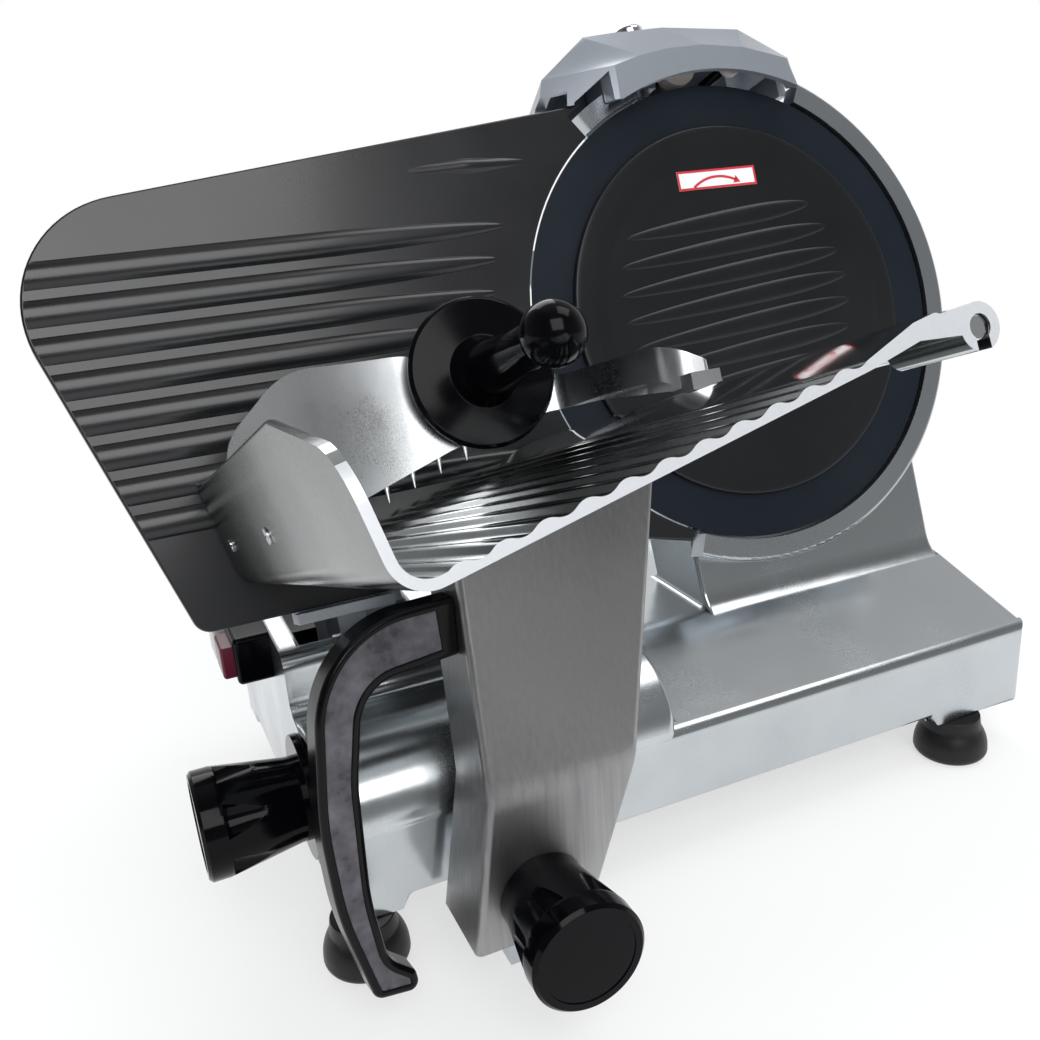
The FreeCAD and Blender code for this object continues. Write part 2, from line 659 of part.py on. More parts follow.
def make_bases_fittings(base, block_hollow):
    """Cut the base for all that seats in it, and make the pieces that hang in it."""
    pads = []
    for x, y in foot_centres():
        pads.append(rod(FOOT_RADIUS - 3.0, V(x, y, FOOT_HEIGHT), V(x, y, BASE_BOTTOM + 14.0)))
        pads.append(corner_drop(x, y))
    footprint = rounded_box_corners(BASE_LEFT, BASE_RIGHT, BASE_FRONT, BASE_BACK, CORNER_RADIUS, 0, 200)
    for pad in pads:
        base = base.fuse(pad.common(footprint))
    for x, y in foot_centres():
        base = base.cut(rod(FOOT_SCREW_RADIUS, V(x, y, FOOT_HEIGHT), V(x, y, BASE_BOTTOM + 12.0)))

    base = base.cut(rod(ROD_RADIUS, V(BASE_LEFT + 2, ROD_Y, ROD_Z), V(BASE_RIGHT - 2, ROD_Y, ROD_Z)))
    half = GUIDE_SIZE / 2.0
    guide = box(BASE_LEFT + 2, BASE_RIGHT - 2, GUIDE_Y - half, GUIDE_Y + half, ROD_Z - half, ROD_Z + half)
    base = base.cut(guide)

    slot_x = BLADE_X + SLIDE_SHAFT_X
    base = base.cut(box(slot_x - 29.0, slot_x + 29.0, -40.0, 30.0, STEP_Z - BASE_WALL - 1, STEP_Z + 1))
    base = base.cut(rod(SPINDLE_SHAFT_RADIUS + RUNNING_GAP, V(BASE_LEFT - 1, DIAL_Y, DIAL_Z),
                        V(BASE_LEFT + BASE_WALL + 1, DIAL_Y, DIAL_Z)))
    base = base.cut(box(BASE_LEFT - 1, BASE_LEFT + BASE_WALL + 1, SWITCH_Y - CONTACT_HALF_WIDTH - 0.2,
                        SWITCH_Y + CONTACT_HALF_WIDTH + 0.2, SWITCH_Z - CONTACT_HALF_HEIGHT - 0.2,
                        SWITCH_Z + CONTACT_HALF_HEIGHT + 0.2))
    gland = V(-120.0, BASE_BACK, GLAND_Z)
    base = base.cut(rod(8.0, gland - Y_AXIS * (BASE_WALL + 1), gland + Y_AXIS))
    for post in make_bottom_cover():
        base = base.fuse(post)
    base = base.removeSplitter()
    save("base_casting", base)

    save("carriage_slide_rod", rod(ROD_RADIUS, V(BASE_LEFT + 2, ROD_Y, ROD_Z),
                                   V(BASE_RIGHT - 2, ROD_Y, ROD_Z)))
    save("carriage_guide_bar", guide)

    shaft_front = 2.0
    shaft_back = -74.0
    slide_shaft = rod(SLIDE_SHAFT_RADIUS, V(SLIDE_SHAFT_X, SLIDE_SHAFT_U, shaft_front),
                      V(SLIDE_SHAFT_X, SLIDE_SHAFT_U, shaft_back))
    lugs = []
    for low, high in ((shaft_front - 8.0, shaft_front), (shaft_back, shaft_back + 8.0)):
        lug = Part.makeBox(24.0, 60.0, high - low, V(SLIDE_SHAFT_X - 12.0, SLIDE_SHAFT_U - 10.0, low))
        lugs.append(tilted(lug.cut(slide_shaft)).common(block_hollow))
    save("gauge_slide_shaft", tilted(slide_shaft), *lugs)

    nut = 3.0
    body = rod(11.0, gland, gland + Y_AXIS * 6.0)
    throat = rod(8.0, gland - Y_AXIS * (BASE_WALL + nut), gland)
    cap = Part.makeCone(11.0, 7.0, 12.0, gland + Y_AXIS * 6.0, Y_AXIS)
    whole = fuse([body, throat, cap]).cut(rod(3.8, gland - Y_AXIS * 20.0, gland + Y_AXIS * 30.0))
    ring = tube(12.0, 8.0, gland - Y_AXIS * (BASE_WALL + nut), gland - Y_AXIS * BASE_WALL)
    save("cord_gland", whole, ring)


def corner_drop(x, y):
    """The slab by which a corner of the casting comes down over its foot, sloped on its inner side."""
    outer = math.copysign(BASE_RIGHT + 10.0, x)
    inner = x - math.copysign(CORNER_DROP_WIDTH / 2.0 + 3.0, x)
    slope = inner - math.copysign(5.0, x)
    outline = [(outer, BASE_BOTTOM, 0), (outer, FOOT_HEIGHT, 0), (inner, FOOT_HEIGHT, 3.0),
               (slope, BASE_BOTTOM, 0)]
    return front_prism(outline, y - CORNER_DROP_WIDTH / 2.0, y + CORNER_DROP_WIDTH / 2.0)


def foot_centres():
    return [(-FOOT_FRONT_X, -FOOT_Y), (FOOT_FRONT_X, -FOOT_Y), (FOOT_REAR_X, FOOT_Y), (-FOOT_REAR_X, FOOT_Y)]


def make_feet():
    feet = []
    for x, y in foot_centres():
        profile = Part.Wire([
            Part.LineSegment(V(0, 0, 0), V(FOOT_RADIUS - 3.0, 0, 0)).toShape(),
            Part.Arc(V(FOOT_RADIUS - 3.0, 0, 0), V(FOOT_RADIUS - 0.7, 0, 1.7),
                     V(FOOT_RADIUS, 0, 5.0)).toShape(),
            Part.Arc(V(FOOT_RADIUS, 0, 5.0), V(FOOT_RADIUS - 1.1, 0, 11.5),
                     V(FOOT_RADIUS - 4.0, 0, 17.0)).toShape(),
            Part.LineSegment(V(FOOT_RADIUS - 4.0, 0, 17.0), V(FOOT_TOP_RADIUS, 0, FOOT_HEIGHT)).toShape(),
            Part.LineSegment(V(FOOT_TOP_RADIUS, 0, FOOT_HEIGHT), V(0, 0, FOOT_HEIGHT)).toShape(),
            Part.LineSegment(V(0, 0, FOOT_HEIGHT), V(0, 0, 0)).toShape()])
        foot = Part.Face(profile).revolve(V(0, 0, 0), Z_AXIS, 360)
        foot.translate(V(x, y, 0))
        foot = foot.cut(rod(7.0, V(x, y, 0), V(x, y, FOOT_RECESS)))
        foot = foot.cut(rod(FOOT_SCREW_RADIUS, V(x, y, FOOT_RECESS), V(x, y, FOOT_HEIGHT)))
        feet.append(foot)
        casting_screws.append(pan_screw(V(x, y, FOOT_RECESS), Z_AXIS, FOOT_SCREW_RADIUS,
                                        BASE_BOTTOM - FOOT_RECESS + 12.0, 6.0, 3.5))
    save("rubber_feet", *feet)


def make_bottom_cover():
    """Plate under the motor; the strip in front of it stays open for the carriage."""
    front = ROD_Y + 27.0
    low = BASE_BOTTOM
    thickness = 1.5
    corner = CORNER_RADIUS - BASE_WALL
    gap = 0.2
    plate = rounded_box_corners(BASE_LEFT + BASE_WALL + gap, BASE_RIGHT - BASE_WALL - gap, front,
                                BASE_BACK - BASE_WALL - gap, corner, low, low + thickness)
    for x, y in foot_centres()[2:]:
        plate = plate.cut(rod(FOOT_RADIUS - 2.8, V(x, y, low - 1), V(x, y, low + thickness + 1)))
    posts = []
    inset = BASE_WALL + COVER_POST_INSET
    for x in (BASE_LEFT + inset, BASE_RIGHT - inset):
        for y in (0.0, 80.0):
            spot = V(x, y, low)
            plate = plate.cut(rod(SCREW_RADIUS, spot, spot + Z_AXIS * thickness))
            casting_screws.append(pan_screw(spot, Z_AXIS, SCREW_RADIUS, thickness + 6.0, SCREW_HEAD,
                                            SCREW_HEAD_HEIGHT))
            posts.append(tube(SCREW_RADIUS + 2.5, SCREW_RADIUS, spot + Z_AXIS * thickness,
                              spot + Z_AXIS * COVER_POST_HEIGHT))
    save("bottom_cover", plate)
    return posts


def make_motor():
    face = -COLUMN_BACK
    axis = V(MOTOR_X, MOTOR_AXIS_U, 0)
    body = rod(MOTOR_RADIUS, axis + Z_AXIS * face, axis + Z_AXIS * (face - MOTOR_LENGTH))
    body = fillet_where(body, 4.0, lambda middle, edge: abs(middle.z - (face - MOTOR_LENGTH)) < 0.01)
    for point in ring_points(16, MOTOR_RADIUS + 1.0):
        body = body.cut(rod(2.5, point + axis + Z_AXIS * (face - 8),
                            point + axis + Z_AXIS * (face - MOTOR_LENGTH + 8)))
    body = body.cut(rod(MOTOR_SHAFT_RADIUS + 2.0, axis + Z_AXIS * face, axis + Z_AXIS * (face - 12.0)))
    wall = face + COLUMN_WALL
    for point in ring_points(4, MOTOR_RADIUS - 7.0, 45):
        spot = point + V(MOTOR_X, MOTOR_AXIS_U, wall)
        body = body.cut(rod(SCREW_RADIUS, spot - Z_AXIS * COLUMN_WALL, spot - Z_AXIS * (COLUMN_WALL + 8.0)))
        casting_screws.append(tilted(pan_screw(spot, Z_AXIS * -1, SCREW_RADIUS, COLUMN_WALL + 8.0,
                                               SCREW_HEAD, 2.0)))
    save("motor_body", tilted(body))
    shaft = rod(MOTOR_SHAFT_RADIUS, axis + Z_AXIS * (-PULLEY_START + 2.0), axis + Z_AXIS * (face - 11.0))
    pulley = rod(MOTOR_PULLEY_RADIUS, axis - Z_AXIS * PULLEY_START, axis - Z_AXIS * PULLEY_END)
    flange = rod(MOTOR_PULLEY_RADIUS + 3.5, axis - Z_AXIS * (PULLEY_END + 1.5), axis - Z_AXIS * PULLEY_END)
    pulley = fuse([pulley, flange]).cut(rod(MOTOR_SHAFT_RADIUS, axis, axis - Z_AXIS * 60.0))
    save("motor_pulley", tilted(pulley), tilted(shaft))

    big = PULLEY_RADIUS + BELT_GAP
    small = MOTOR_PULLEY_RADIUS + BELT_GAP
    middle = (PULLEY_START + PULLEY_END) / 2.0
    half = PULLEY_WIDTH / 2.0 - 1.0
    outer = belt_loop(big + BELT_THICKNESS, small + BELT_THICKNESS, axis, -middle - half, -middle + half)
    inner = belt_loop(big, small, axis, -middle - half - 1, -middle + half + 1)
    save("drive_belt", tilted(outer.cut(inner)))

    can = rod(CAN_RADIUS, V(CAN_START, CAN_Y, CAN_Z), V(CAN_END, CAN_Y, CAN_Z))
    middle = (CAN_START + CAN_END) / 2.0
    strap = rod(CAN_RADIUS + 2.0, V(middle - 6.0, CAN_Y, CAN_Z), V(middle + 6.0, CAN_Y, CAN_Z))
    foot = box(middle - 6.0, middle + 6.0, CAN_Y - 18.0, CAN_Y + 18.0, CAN_Z + CAN_RADIUS + 0.2,
               SHELF_BACK_Z - BASE_WALL)
    clip = strap.fuse(foot).cut(can).removeSplitter()
    save("motor_capacitor", can, clip)


def belt_loop(big, small, axis, low, high):
    """The solid inside a belt line round the pulley at the origin and the one at axis."""
    distance = axis.Length
    lean = math.asin((big - small) / distance)
    direction = math.atan2(axis.y, axis.x)
    corners = []
    for side in (1, -1):
        angle = direction + side * (math.pi / 2.0 - lean)
        normal = V(math.cos(angle), math.sin(angle), 0)
        corners.append((normal * big, axis + normal * small))
    far = V(math.cos(direction), math.sin(direction), 0)
    edges = [Part.LineSegment(corners[0][0], corners[0][1]).toShape(),
             Part.Arc(corners[0][1], axis + far * small, corners[1][1]).toShape(),
             Part.LineSegment(corners[1][1], corners[1][0]).toShape(),
             Part.Arc(corners[1][0], far * -big, corners[0][0]).toShape()]
    solid = Part.Face(Part.Wire(edges)).extrude(V(0, 0, high - low))
    solid.translate(V(0, 0, low))
    return solid


def make_deflector():
    """The bent sheet behind the blade that turns the slices away, on two pins in the column."""
    thickness = 2.0
    bend = 10.0
    reach = -COLUMN_BACK - 6.0
    strip = [(-57.0, -7.0, 0), (-65.0, -7.0, bend), (-93.0, reach, 0), (-91.0, reach - 1.0, 0),
             (-63.7, -7.0 - thickness, bend - thickness), (-57.0, -7.0 - thickness, 0)]
    sheet = front_prism(strip, -70.0, 60.0)
    for u in (-40.0, 30.0):
        pin = rod(3.0, V(COLUMN_LEFT, u, -32.0), V(-76.0, u, -32.0))
        sheet = sheet.cut(pin)
        casting_screws.append(tilted(pin))
    save("slice_deflector", tilted(sheet))


def roof_section(points, n, wall):
    """A closed outline of the sharpener's shell at a depth n, drawn in by a wall and open below."""
    corners = []
    for index, (x, u) in enumerate(points):
        side = wall if x < 0 else -wall
        open_below = wall > 0 and index in (0, len(points) - 1)
        corners.append(V(x + side, 60.0 if open_below else u - wall, n))
    return Part.makePolygon(corners + [corners[0]])


def roof_shell(wall):
    """The solid under the sharpener's roof: nose, ridge and back, drawn in by a wall."""
    front = [(-58.0, 115.0), (-57.5, 132.5), (-41.0, 137.2), (-24.0, 140.0), (-2.6, 141.2), (23.0, 138.8),
             (50.0, 131.5), (54.0, 116.0)]
    ridge = [(-95.5, 119.5), (-90.5, 135.0), (-61.5, 156.5), (-42.0, 158.4), (-12.0, 160.2), (36.6, 157.5),
             (67.0, 140.0), (69.0, 121.0)]
    back = [(-85.0, 119.0), (-80.0, 133.0), (-56.0, 150.0), (-38.0, 151.6), (-10.0, 153.0), (34.0, 151.0),
            (58.0, 136.0), (62.0, 121.0)]
    ridge_wire = roof_section(ridge, -SHARPENER_MID, wall)
    nose = Part.makeLoft([roof_section(front, SHARPENER_FRONT - wall, wall), ridge_wire], True, True)
    rest = Part.makeLoft([ridge_wire, roof_section(back, -SHARPENER_BACK + wall, wall)], True, True)
    return nose.fuse(rest).removeSplitter()


def make_sharpener_housing():
    """Open shell over the top of the blade, in blade coordinates, and the room inside it."""
    room = roof_shell(SHARPENER_WALL)
    outer = roof_shell(0.0)
    housing = outer.cut(room).cut(rod(BLADE_RADIUS + 3.0, V(0, 0, 40), V(0, 0, -90)))
    ring = sector(GUARD_OUTER + 1.3, 30.0, GUARD_END + 2.0, -13.0, 5.0)
    for share in range(4):
        lowered = ring.copy()
        lowered.translate(Y_AXIS * (SHARPENER_TRAVEL * share / 3.0))
        housing = housing.cut(lowered)
    passage = prism(column_outline(-1.0), -COLUMN_BACK - 1.0, -COLUMN_FRONT + 1.0)
    passage.translate(Y_AXIS * SHARPENER_TRAVEL)
    housing = housing.cut(passage)
    notch = prism([(-79.0, 118.8, 0), (-60.5, 130.5, 0), (-60.5, 100.0, 0), (-79.0, 100.0, 0)],
                  -SHARPENER_MID + 2.0, SHARPENER_FRONT + 5.0)
    cheek = Part.makeBox(SHARPENER_WALL, 40.0, 2 * SHARPENER_FRONT, V(-60.5, 100.0, RING_FRONT + 0.8))
    cheek = cheek.common(outer).cut(rod(BLADE_RADIUS + 3.0, V(0, 0, 40), V(0, 0, -90)))
    housing = housing.cut(notch).fuse(cheek).removeSplitter()
    plate_top = 119.5 + SHARPENER_TRAVEL
    plate_room = Part.makeBox(60.0, 40.0, PLATE_TRAVEL + 10.0,
                              V(-120.0, plate_top - 40.0, -PLATE_THICKNESS - PLATE_TRAVEL - 2.0))
    return housing.cut(plate_room), room


def make_sharpener():
    """Housing on its lift, the two stones on sprung shafts, their buttons and the clamp screw."""
    housing, room = make_sharpener_housing()
    foot = Part.makeBox(18.0, 3.0, 16.0, V(SHARPENER_POST_X - 9.0, COLUMN_TOP, -27.0))
    post_low = V(SHARPENER_POST_X, COLUMN_TOP, SHARPENER_POST_N)
    post_high = V(SHARPENER_POST_X, SHARPENER_POST_TOP, SHARPENER_POST_N)
    bore = rod(SHANK_RADIUS + RUNNING_GAP, V(SHARPENER_POST_X, COLUMN_TOP + 1.0, SHARPENER_POST_N), post_high)
    post = fuse([foot, rod(SHARPENER_POST_RADIUS, post_low, post_high)]).cut(bore)
    save("sharpener_post", tilted(post))

    bridge = Part.makeBox(80.0, 40.0, 22.0, V(-44.0, BRIDGE_LOW, -46.0))
    lobe = Part.makeBox(24.5, 40.0, 17.0, V(-44.0, BRIDGE_LOW, -28.0))
    bridge = bridge.fuse(lobe).removeSplitter().common(room)
    bridge = bridge.cut(rod(SHARPENER_POST_RADIUS + RUNNING_GAP, post_low,
                            post_high + Y_AXIS * (SHARPENER_TRAVEL + 1.0)))
    stones = ((GRINDER_X, GRINDER_U), (DEBURRER_X, DEBURRER_U))
    for x, u in stones:
        bridge = bridge.cut(rod(STONE_SHAFT_RADIUS + RUNNING_GAP, V(x, u, 0), V(x, u, -60)))
        housing = housing.cut(rod(STONE_BUTTON_RADIUS + 0.3, V(x, u, -SHARPENER_BACK - 1),
                                  V(x, u, -SHARPENER_BACK + SHARPENER_WALL + 1)))
    seat = V(SHARPENER_POST_X, SHARPENER_SEAT, SHARPENER_POST_N)
    shank_room = rod(SHANK_RADIUS + RUNNING_GAP, post_high, seat + Y_AXIS)
    housing = housing.cut(shank_room)
    housing = housing.cut(rod(CLAMP_HEAD_RADIUS + 0.8, seat, seat + Y_AXIS * 12.0))
    save("sharpener_housing", tilted(housing), tilted(bridge.cut(shank_room)))

    head_top = CLAMP_HEAD_HEIGHT
    head = rod(CLAMP_HEAD_RADIUS, seat, seat + Y_AXIS * head_top)
    head = fillet_where(head, 3.0, lambda middle, edge: abs(middle.y - seat.y - head_top) < 0.01)
    shank = rod(SHANK_RADIUS, seat, V(seat.x, COLUMN_TOP + 9.0, seat.z))
    slot = Part.makeBox(20.0, 1.4, 1.6, V(-10.0, 0, -0.8))
    slot.translate(seat + Y_AXIS * (head_top - 1.2))
    save("sharpener_clamp_screw", tilted(head.fuse(shank).removeSplitter().cut(slot)))

    make_stone("grinding", V(GRINDER_X, GRINDER_U, 0), GRINDER_RADIUS, -12.0, 8.0)
    make_stone("deburring", V(DEBURRER_X, DEBURRER_U, 0), DEBURRER_RADIUS, 2.2, 4.0)


def make_stone(name, axis, radius, low, thickness):
    """A stone that turns on a sprung shaft, and the shaft with its button."""
    back = -SHARPENER_BACK
    stone = tube(radius, STONE_SHAFT_RADIUS + RUNNING_GAP, axis + Z_AXIS * low,
                 axis + Z_AXIS * (low + thickness))
    save(name + "_stone", tilted(stone))
    collar = STONE_SHAFT_RADIUS + 1.1
    front = axis + Z_AXIS * (low + thickness + 0.2)
    shaft = rod(STONE_SHAFT_RADIUS, front, axis + Z_AXIS * (back + 2.0))
    clip = rod(collar, axis + Z_AXIS * (low - 0.2), axis + Z_AXIS * (low - 1.8))
    cap = rod(collar, front, front + Z_AXIS * 1.2)
    button = rod(STONE_BUTTON_RADIUS, axis + Z_AXIS * (back + 2.5), axis + Z_AXIS * (back - 8.0))
    button = fillet_where(button, 1.5, lambda middle, edge: abs(middle.z - back + 8.0) < 0.01)
    save(name + "_button", tilted(fuse([shaft, clip, cap, button])))
    coil = tube(STONE_SHAFT_RADIUS + 1.8, STONE_SHAFT_RADIUS + 0.6, axis - Z_AXIS * 46.0,
                axis + Z_AXIS * (back + 2.5))
    save(name + "_spring", tilted(coil))


def plate_left_edge(u):
    """The x of the gauge plate's slanted left edge at a height u."""
    return PLATE_LEFT_X - PLATE_SLANT * (u - PLATE_LEFT_U)


def make_gauge_plate():
    """The ribbed plate left of the blade, its slider below and the follower pin."""
    top_slope = 0.111
    corner_u = 85.5
    top_right = PLATE_TOP_CLEAR - BLADE_RADIUS
    top_level = BLADE_RADIUS - PLATE_TOP_DROP
    outline = [(top_right, top_level + top_slope * 6.0, 0), (plate_left_edge(corner_u), corner_u, 52.0),
               (plate_left_edge(PLATE_BOTTOM_U), PLATE_BOTTOM_U, 8.0), (-100.0, PLATE_BOTTOM_U, 12.0),
               (-56.0, PLATE_BOTTOM_U - 11.0, 0)]
    plate = prism(outline, -PLATE_THICKNESS, 0)
    plate = plate.cut(rod(BLADE_RADIUS + PLATE_GAP, V(0, 0, -20), V(0, 0, 20)))
    beyond = GUARD_OUTER + 1.5
    plate = plate.cut(sector(beyond, GUARD_START - 2.5, GUARD_START + 60.0, -20, 20))
    plate = plate.cut(sector(beyond, 80.0, GUARD_TAIL_END + 2.0, -20, 20))
    plate = fillet_where(plate, 1.2, lambda middle, edge: abs(middle.z) < 0.01
                         and math.hypot(middle.x, middle.y) > beyond + 1.0)
    ribs = []
    for index in range(PLATE_RIB_COUNT):
        u = PLATE_RIB_TOP - PLATE_RIB_PITCH * index
        tip = -math.sqrt(RIB_TIP_RADIUS ** 2 - u ** 2)
        ribs.append(spear_rib(plate_left_edge(u) + 6.0 + max(u - 30.0, 0.0) * 0.35, tip, u + 3.0, 0.0,
                              10.0, 60.0))
    ribs.append(spear_rib(-176.0, -110.0, 92.0, 0.0, 32.0, 32.0))
    plate = fuse([plate] + ribs)
    studs = []
    nuts = []
    for x in (SLIDE_SHAFT_X - 18.0, SLIDE_SHAFT_X + 18.0):
        low = V(x, -86.0, -PLATE_THICKNESS)
        studs.append(rod(3.0, low, low - Z_AXIS * 11.0))
        nuts.append(tilted(tube(5.5, 3.0, low - Z_AXIS * 6.0, low - Z_AXIS * 10.5)))
    save("gauge_plate", tilted(fuse([plate] + studs)))

    x = SLIDE_SHAFT_X
    back = -PLATE_THICKNESS
    flange = Part.makeBox(50.0, 40.0, 6.0, V(x - 25.0, PLATE_BOTTOM_U, back - 6.0))
    tongue = Part.makeBox(46.0, 5.0, 16.0, V(x - 28.0, PLATE_BOTTOM_U - 5.6, back - 2.0))
    web = Part.makeBox(14.0, 52.0, 34.0, V(x - 7.0, SLIDE_SHAFT_U + 4.0, back - 38.0))
    block = Part.makeBox(28.0, 20.0, 30.0, V(x - 16.0, SLIDE_SHAFT_U - 10.0, -44.0))
    corner = Part.makeBox(50.0, 5.6, 6.0, V(x - 25.0, PLATE_BOTTOM_U - 5.6, back - 6.0))
    pin_place = pin_in_blade_frame()
    arm = side_lug(pin_place)
    slider = fuse([flange, tongue, web, block, corner, arm])
    for stud in studs:
        slider = slider.cut(stud)
    slider = slider.cut(rod(SLIDE_SHAFT_RADIUS + RUNNING_GAP, V(x, SLIDE_SHAFT_U, 20),
                            V(x, SLIDE_SHAFT_U, -90)))
    pin_tip = V(CAM_RIGHT - PIN_DEPTH - BLADE_X, pin_place.y, pin_place.z)
    pin = rod(PIN_RADIUS, pin_tip, pin_place + X_AXIS * 2.0)
    slider = slider.cut(pin)
    save("gauge_slider", tilted(slider))
    save("gauge_fasteners", tilted(pin), *nuts)


def pin_in_blade_frame():
    """Centre of the follower pin at rest, on the slider's arm, in blade coordinates."""
    slide = blade_point(0, 0, -1).sub(blade_point(0, 0, 0))
    centre = V(PIN_X, DIAL_Y, DIAL_Z) + slide * CAM_START_RADIUS
    return BLADE_PLACE.inverse().multVec(centre)


def side_lug(pin_place):
    """The slider's arm, from its block down to the follower pin."""
    x0 = pin_place.x - 4.0
    x1 = pin_place.x + 4.5
    u = SLIDE_SHAFT_U
    outline = [(u + 10.0, -44.0, 0), (u + 10.0, -14.0, 0), (pin_place.y + 8.0, pin_place.z + 7.0, 5.0),
               (pin_place.y - 7.0, pin_place.z + 7.0, 5.0), (pin_place.y - 7.0, pin_place.z - 8.0, 5.0),
               (u - 10.0, -44.0, 0)]
    return side_prism(outline, x0, x1)


def spiral_point(share, offset):
    """A point of the cam's groove at a share of its turn, set off square to the spiral (plane x = 0)."""
    slide = blade_point(0, 0, -1).sub(blade_point(0, 0, 0))
    radial = FreeCAD.Rotation(X_AXIS * -1, -CAM_TURN * share).multVec(slide)
    around = FreeCAD.Rotation(X_AXIS * -1, -90.0).multVec(radial)
    radius = CAM_START_RADIUS + PLATE_TRAVEL * share
    along = around * (radius * math.radians(CAM_TURN)) + radial * PLATE_TRAVEL
    side = along.cross(X_AXIS).normalize()
    return radial * radius + side * offset


def make_thickness_control():
    """Spindle with its spiral cam, the dial with its plain marks and the fluted knob."""
    centre = V(0, DIAL_Y, DIAL_Z)
    cam_left = CAM_RIGHT - CAM_THICKNESS
    knob_start = BASE_LEFT - DIAL_GAP - DIAL_THICKNESS
    bore = THICKNESS_KNOB_LENGTH - 10.0
    spindle = rod(SPINDLE_SHAFT_RADIUS, V(knob_start - bore, DIAL_Y, DIAL_Z), V(cam_left, DIAL_Y, DIAL_Z))
    cam = rod(CAM_RADIUS, V(cam_left, DIAL_Y, DIAL_Z), V(CAM_RIGHT, DIAL_Y, DIAL_Z))
    half = PIN_RADIUS + PIN_GAP
    steps = 24
    left_bank = Part.BSplineCurve()
    left_bank.interpolate([spiral_point(index / steps, half) for index in range(steps + 1)])
    right_bank = Part.BSplineCurve()
    right_bank.interpolate([spiral_point(index / steps, -half) for index in range(steps + 1)])
    start = Part.LineSegment(spiral_point(0, -half), spiral_point(0, half))
    end = Part.LineSegment(spiral_point(1, -half), spiral_point(1, half))
    groove = Part.Face(Part.Wire([left_bank.toShape(), end.toShape(), right_bank.toShape(), start.toShape()]))
    groove = groove.extrude(X_AXIS * (GROOVE_DEPTH + 1.0))
    for share in (0, 1):
        place = spiral_point(share, 0)
        groove = groove.fuse(rod(half, place, place + X_AXIS * (GROOVE_DEPTH + 1.0)))
    groove.translate(centre + X_AXIS * (CAM_RIGHT - GROOVE_DEPTH))
    save("thickness_cam", fuse([spindle, cam]).cut(groove))

    dial = tube(DIAL_RADIUS, SPINDLE_SHAFT_RADIUS, V(BASE_LEFT - DIAL_GAP, DIAL_Y, DIAL_Z),
                V(knob_start, DIAL_Y, DIAL_Z))
    save("thickness_dial", dial)
    make_knob("thickness_knob", V(knob_start, DIAL_Y, DIAL_Z), X_AXIS * -1, THICKNESS_KNOB_LENGTH,
              SPINDLE_SHAFT_RADIUS, bore)


def make_knob(name, place, direction, length, bore_radius, bore_depth):
    """A fluted black knob that widens to its outer end, with a set-in cap."""
    band = 9.0
    rim = 1.5
    cap_radius = KNOB_RADIUS - 4.5
    profile = Part.makePolygon([
        V(0, 0, 0), V(KNOB_NECK_RADIUS, 0, 0), V(KNOB_NECK_RADIUS, 0, 4.0), V(KNOB_RADIUS, 0, length - band),
        V(KNOB_RADIUS, 0, length - rim), V(KNOB_RADIUS - rim, 0, length), V(cap_radius, 0, length),
        V(cap_radius, 0, length - 1.5), V(0, 0, length - 1.5), V(0, 0, 0)])
    knob = Part.Face(profile).revolve(V(0, 0, 0), Z_AXIS, 360)
    for point in ring_points(KNOB_FLUTES, KNOB_RADIUS + 3.0):
        groove = Part.makeCone(3.0, 8.6, length - band - 1.5, point, Z_AXIS)
        knob = knob.cut(groove)
    knob = knob.cut(rod(bore_radius, V(0, 0, 0), V(0, 0, bore_depth)))
    cap = rod(cap_radius, V(0, 0, length - 1.5), V(0, 0, length - 0.5))
    turn = FreeCAD.Placement(place, FreeCAD.Rotation(Z_AXIS, direction))
    knob.Placement = turn.multiply(knob.Placement)
    cap.Placement = turn.multiply(cap.Placement)
    save(name, knob, cap)


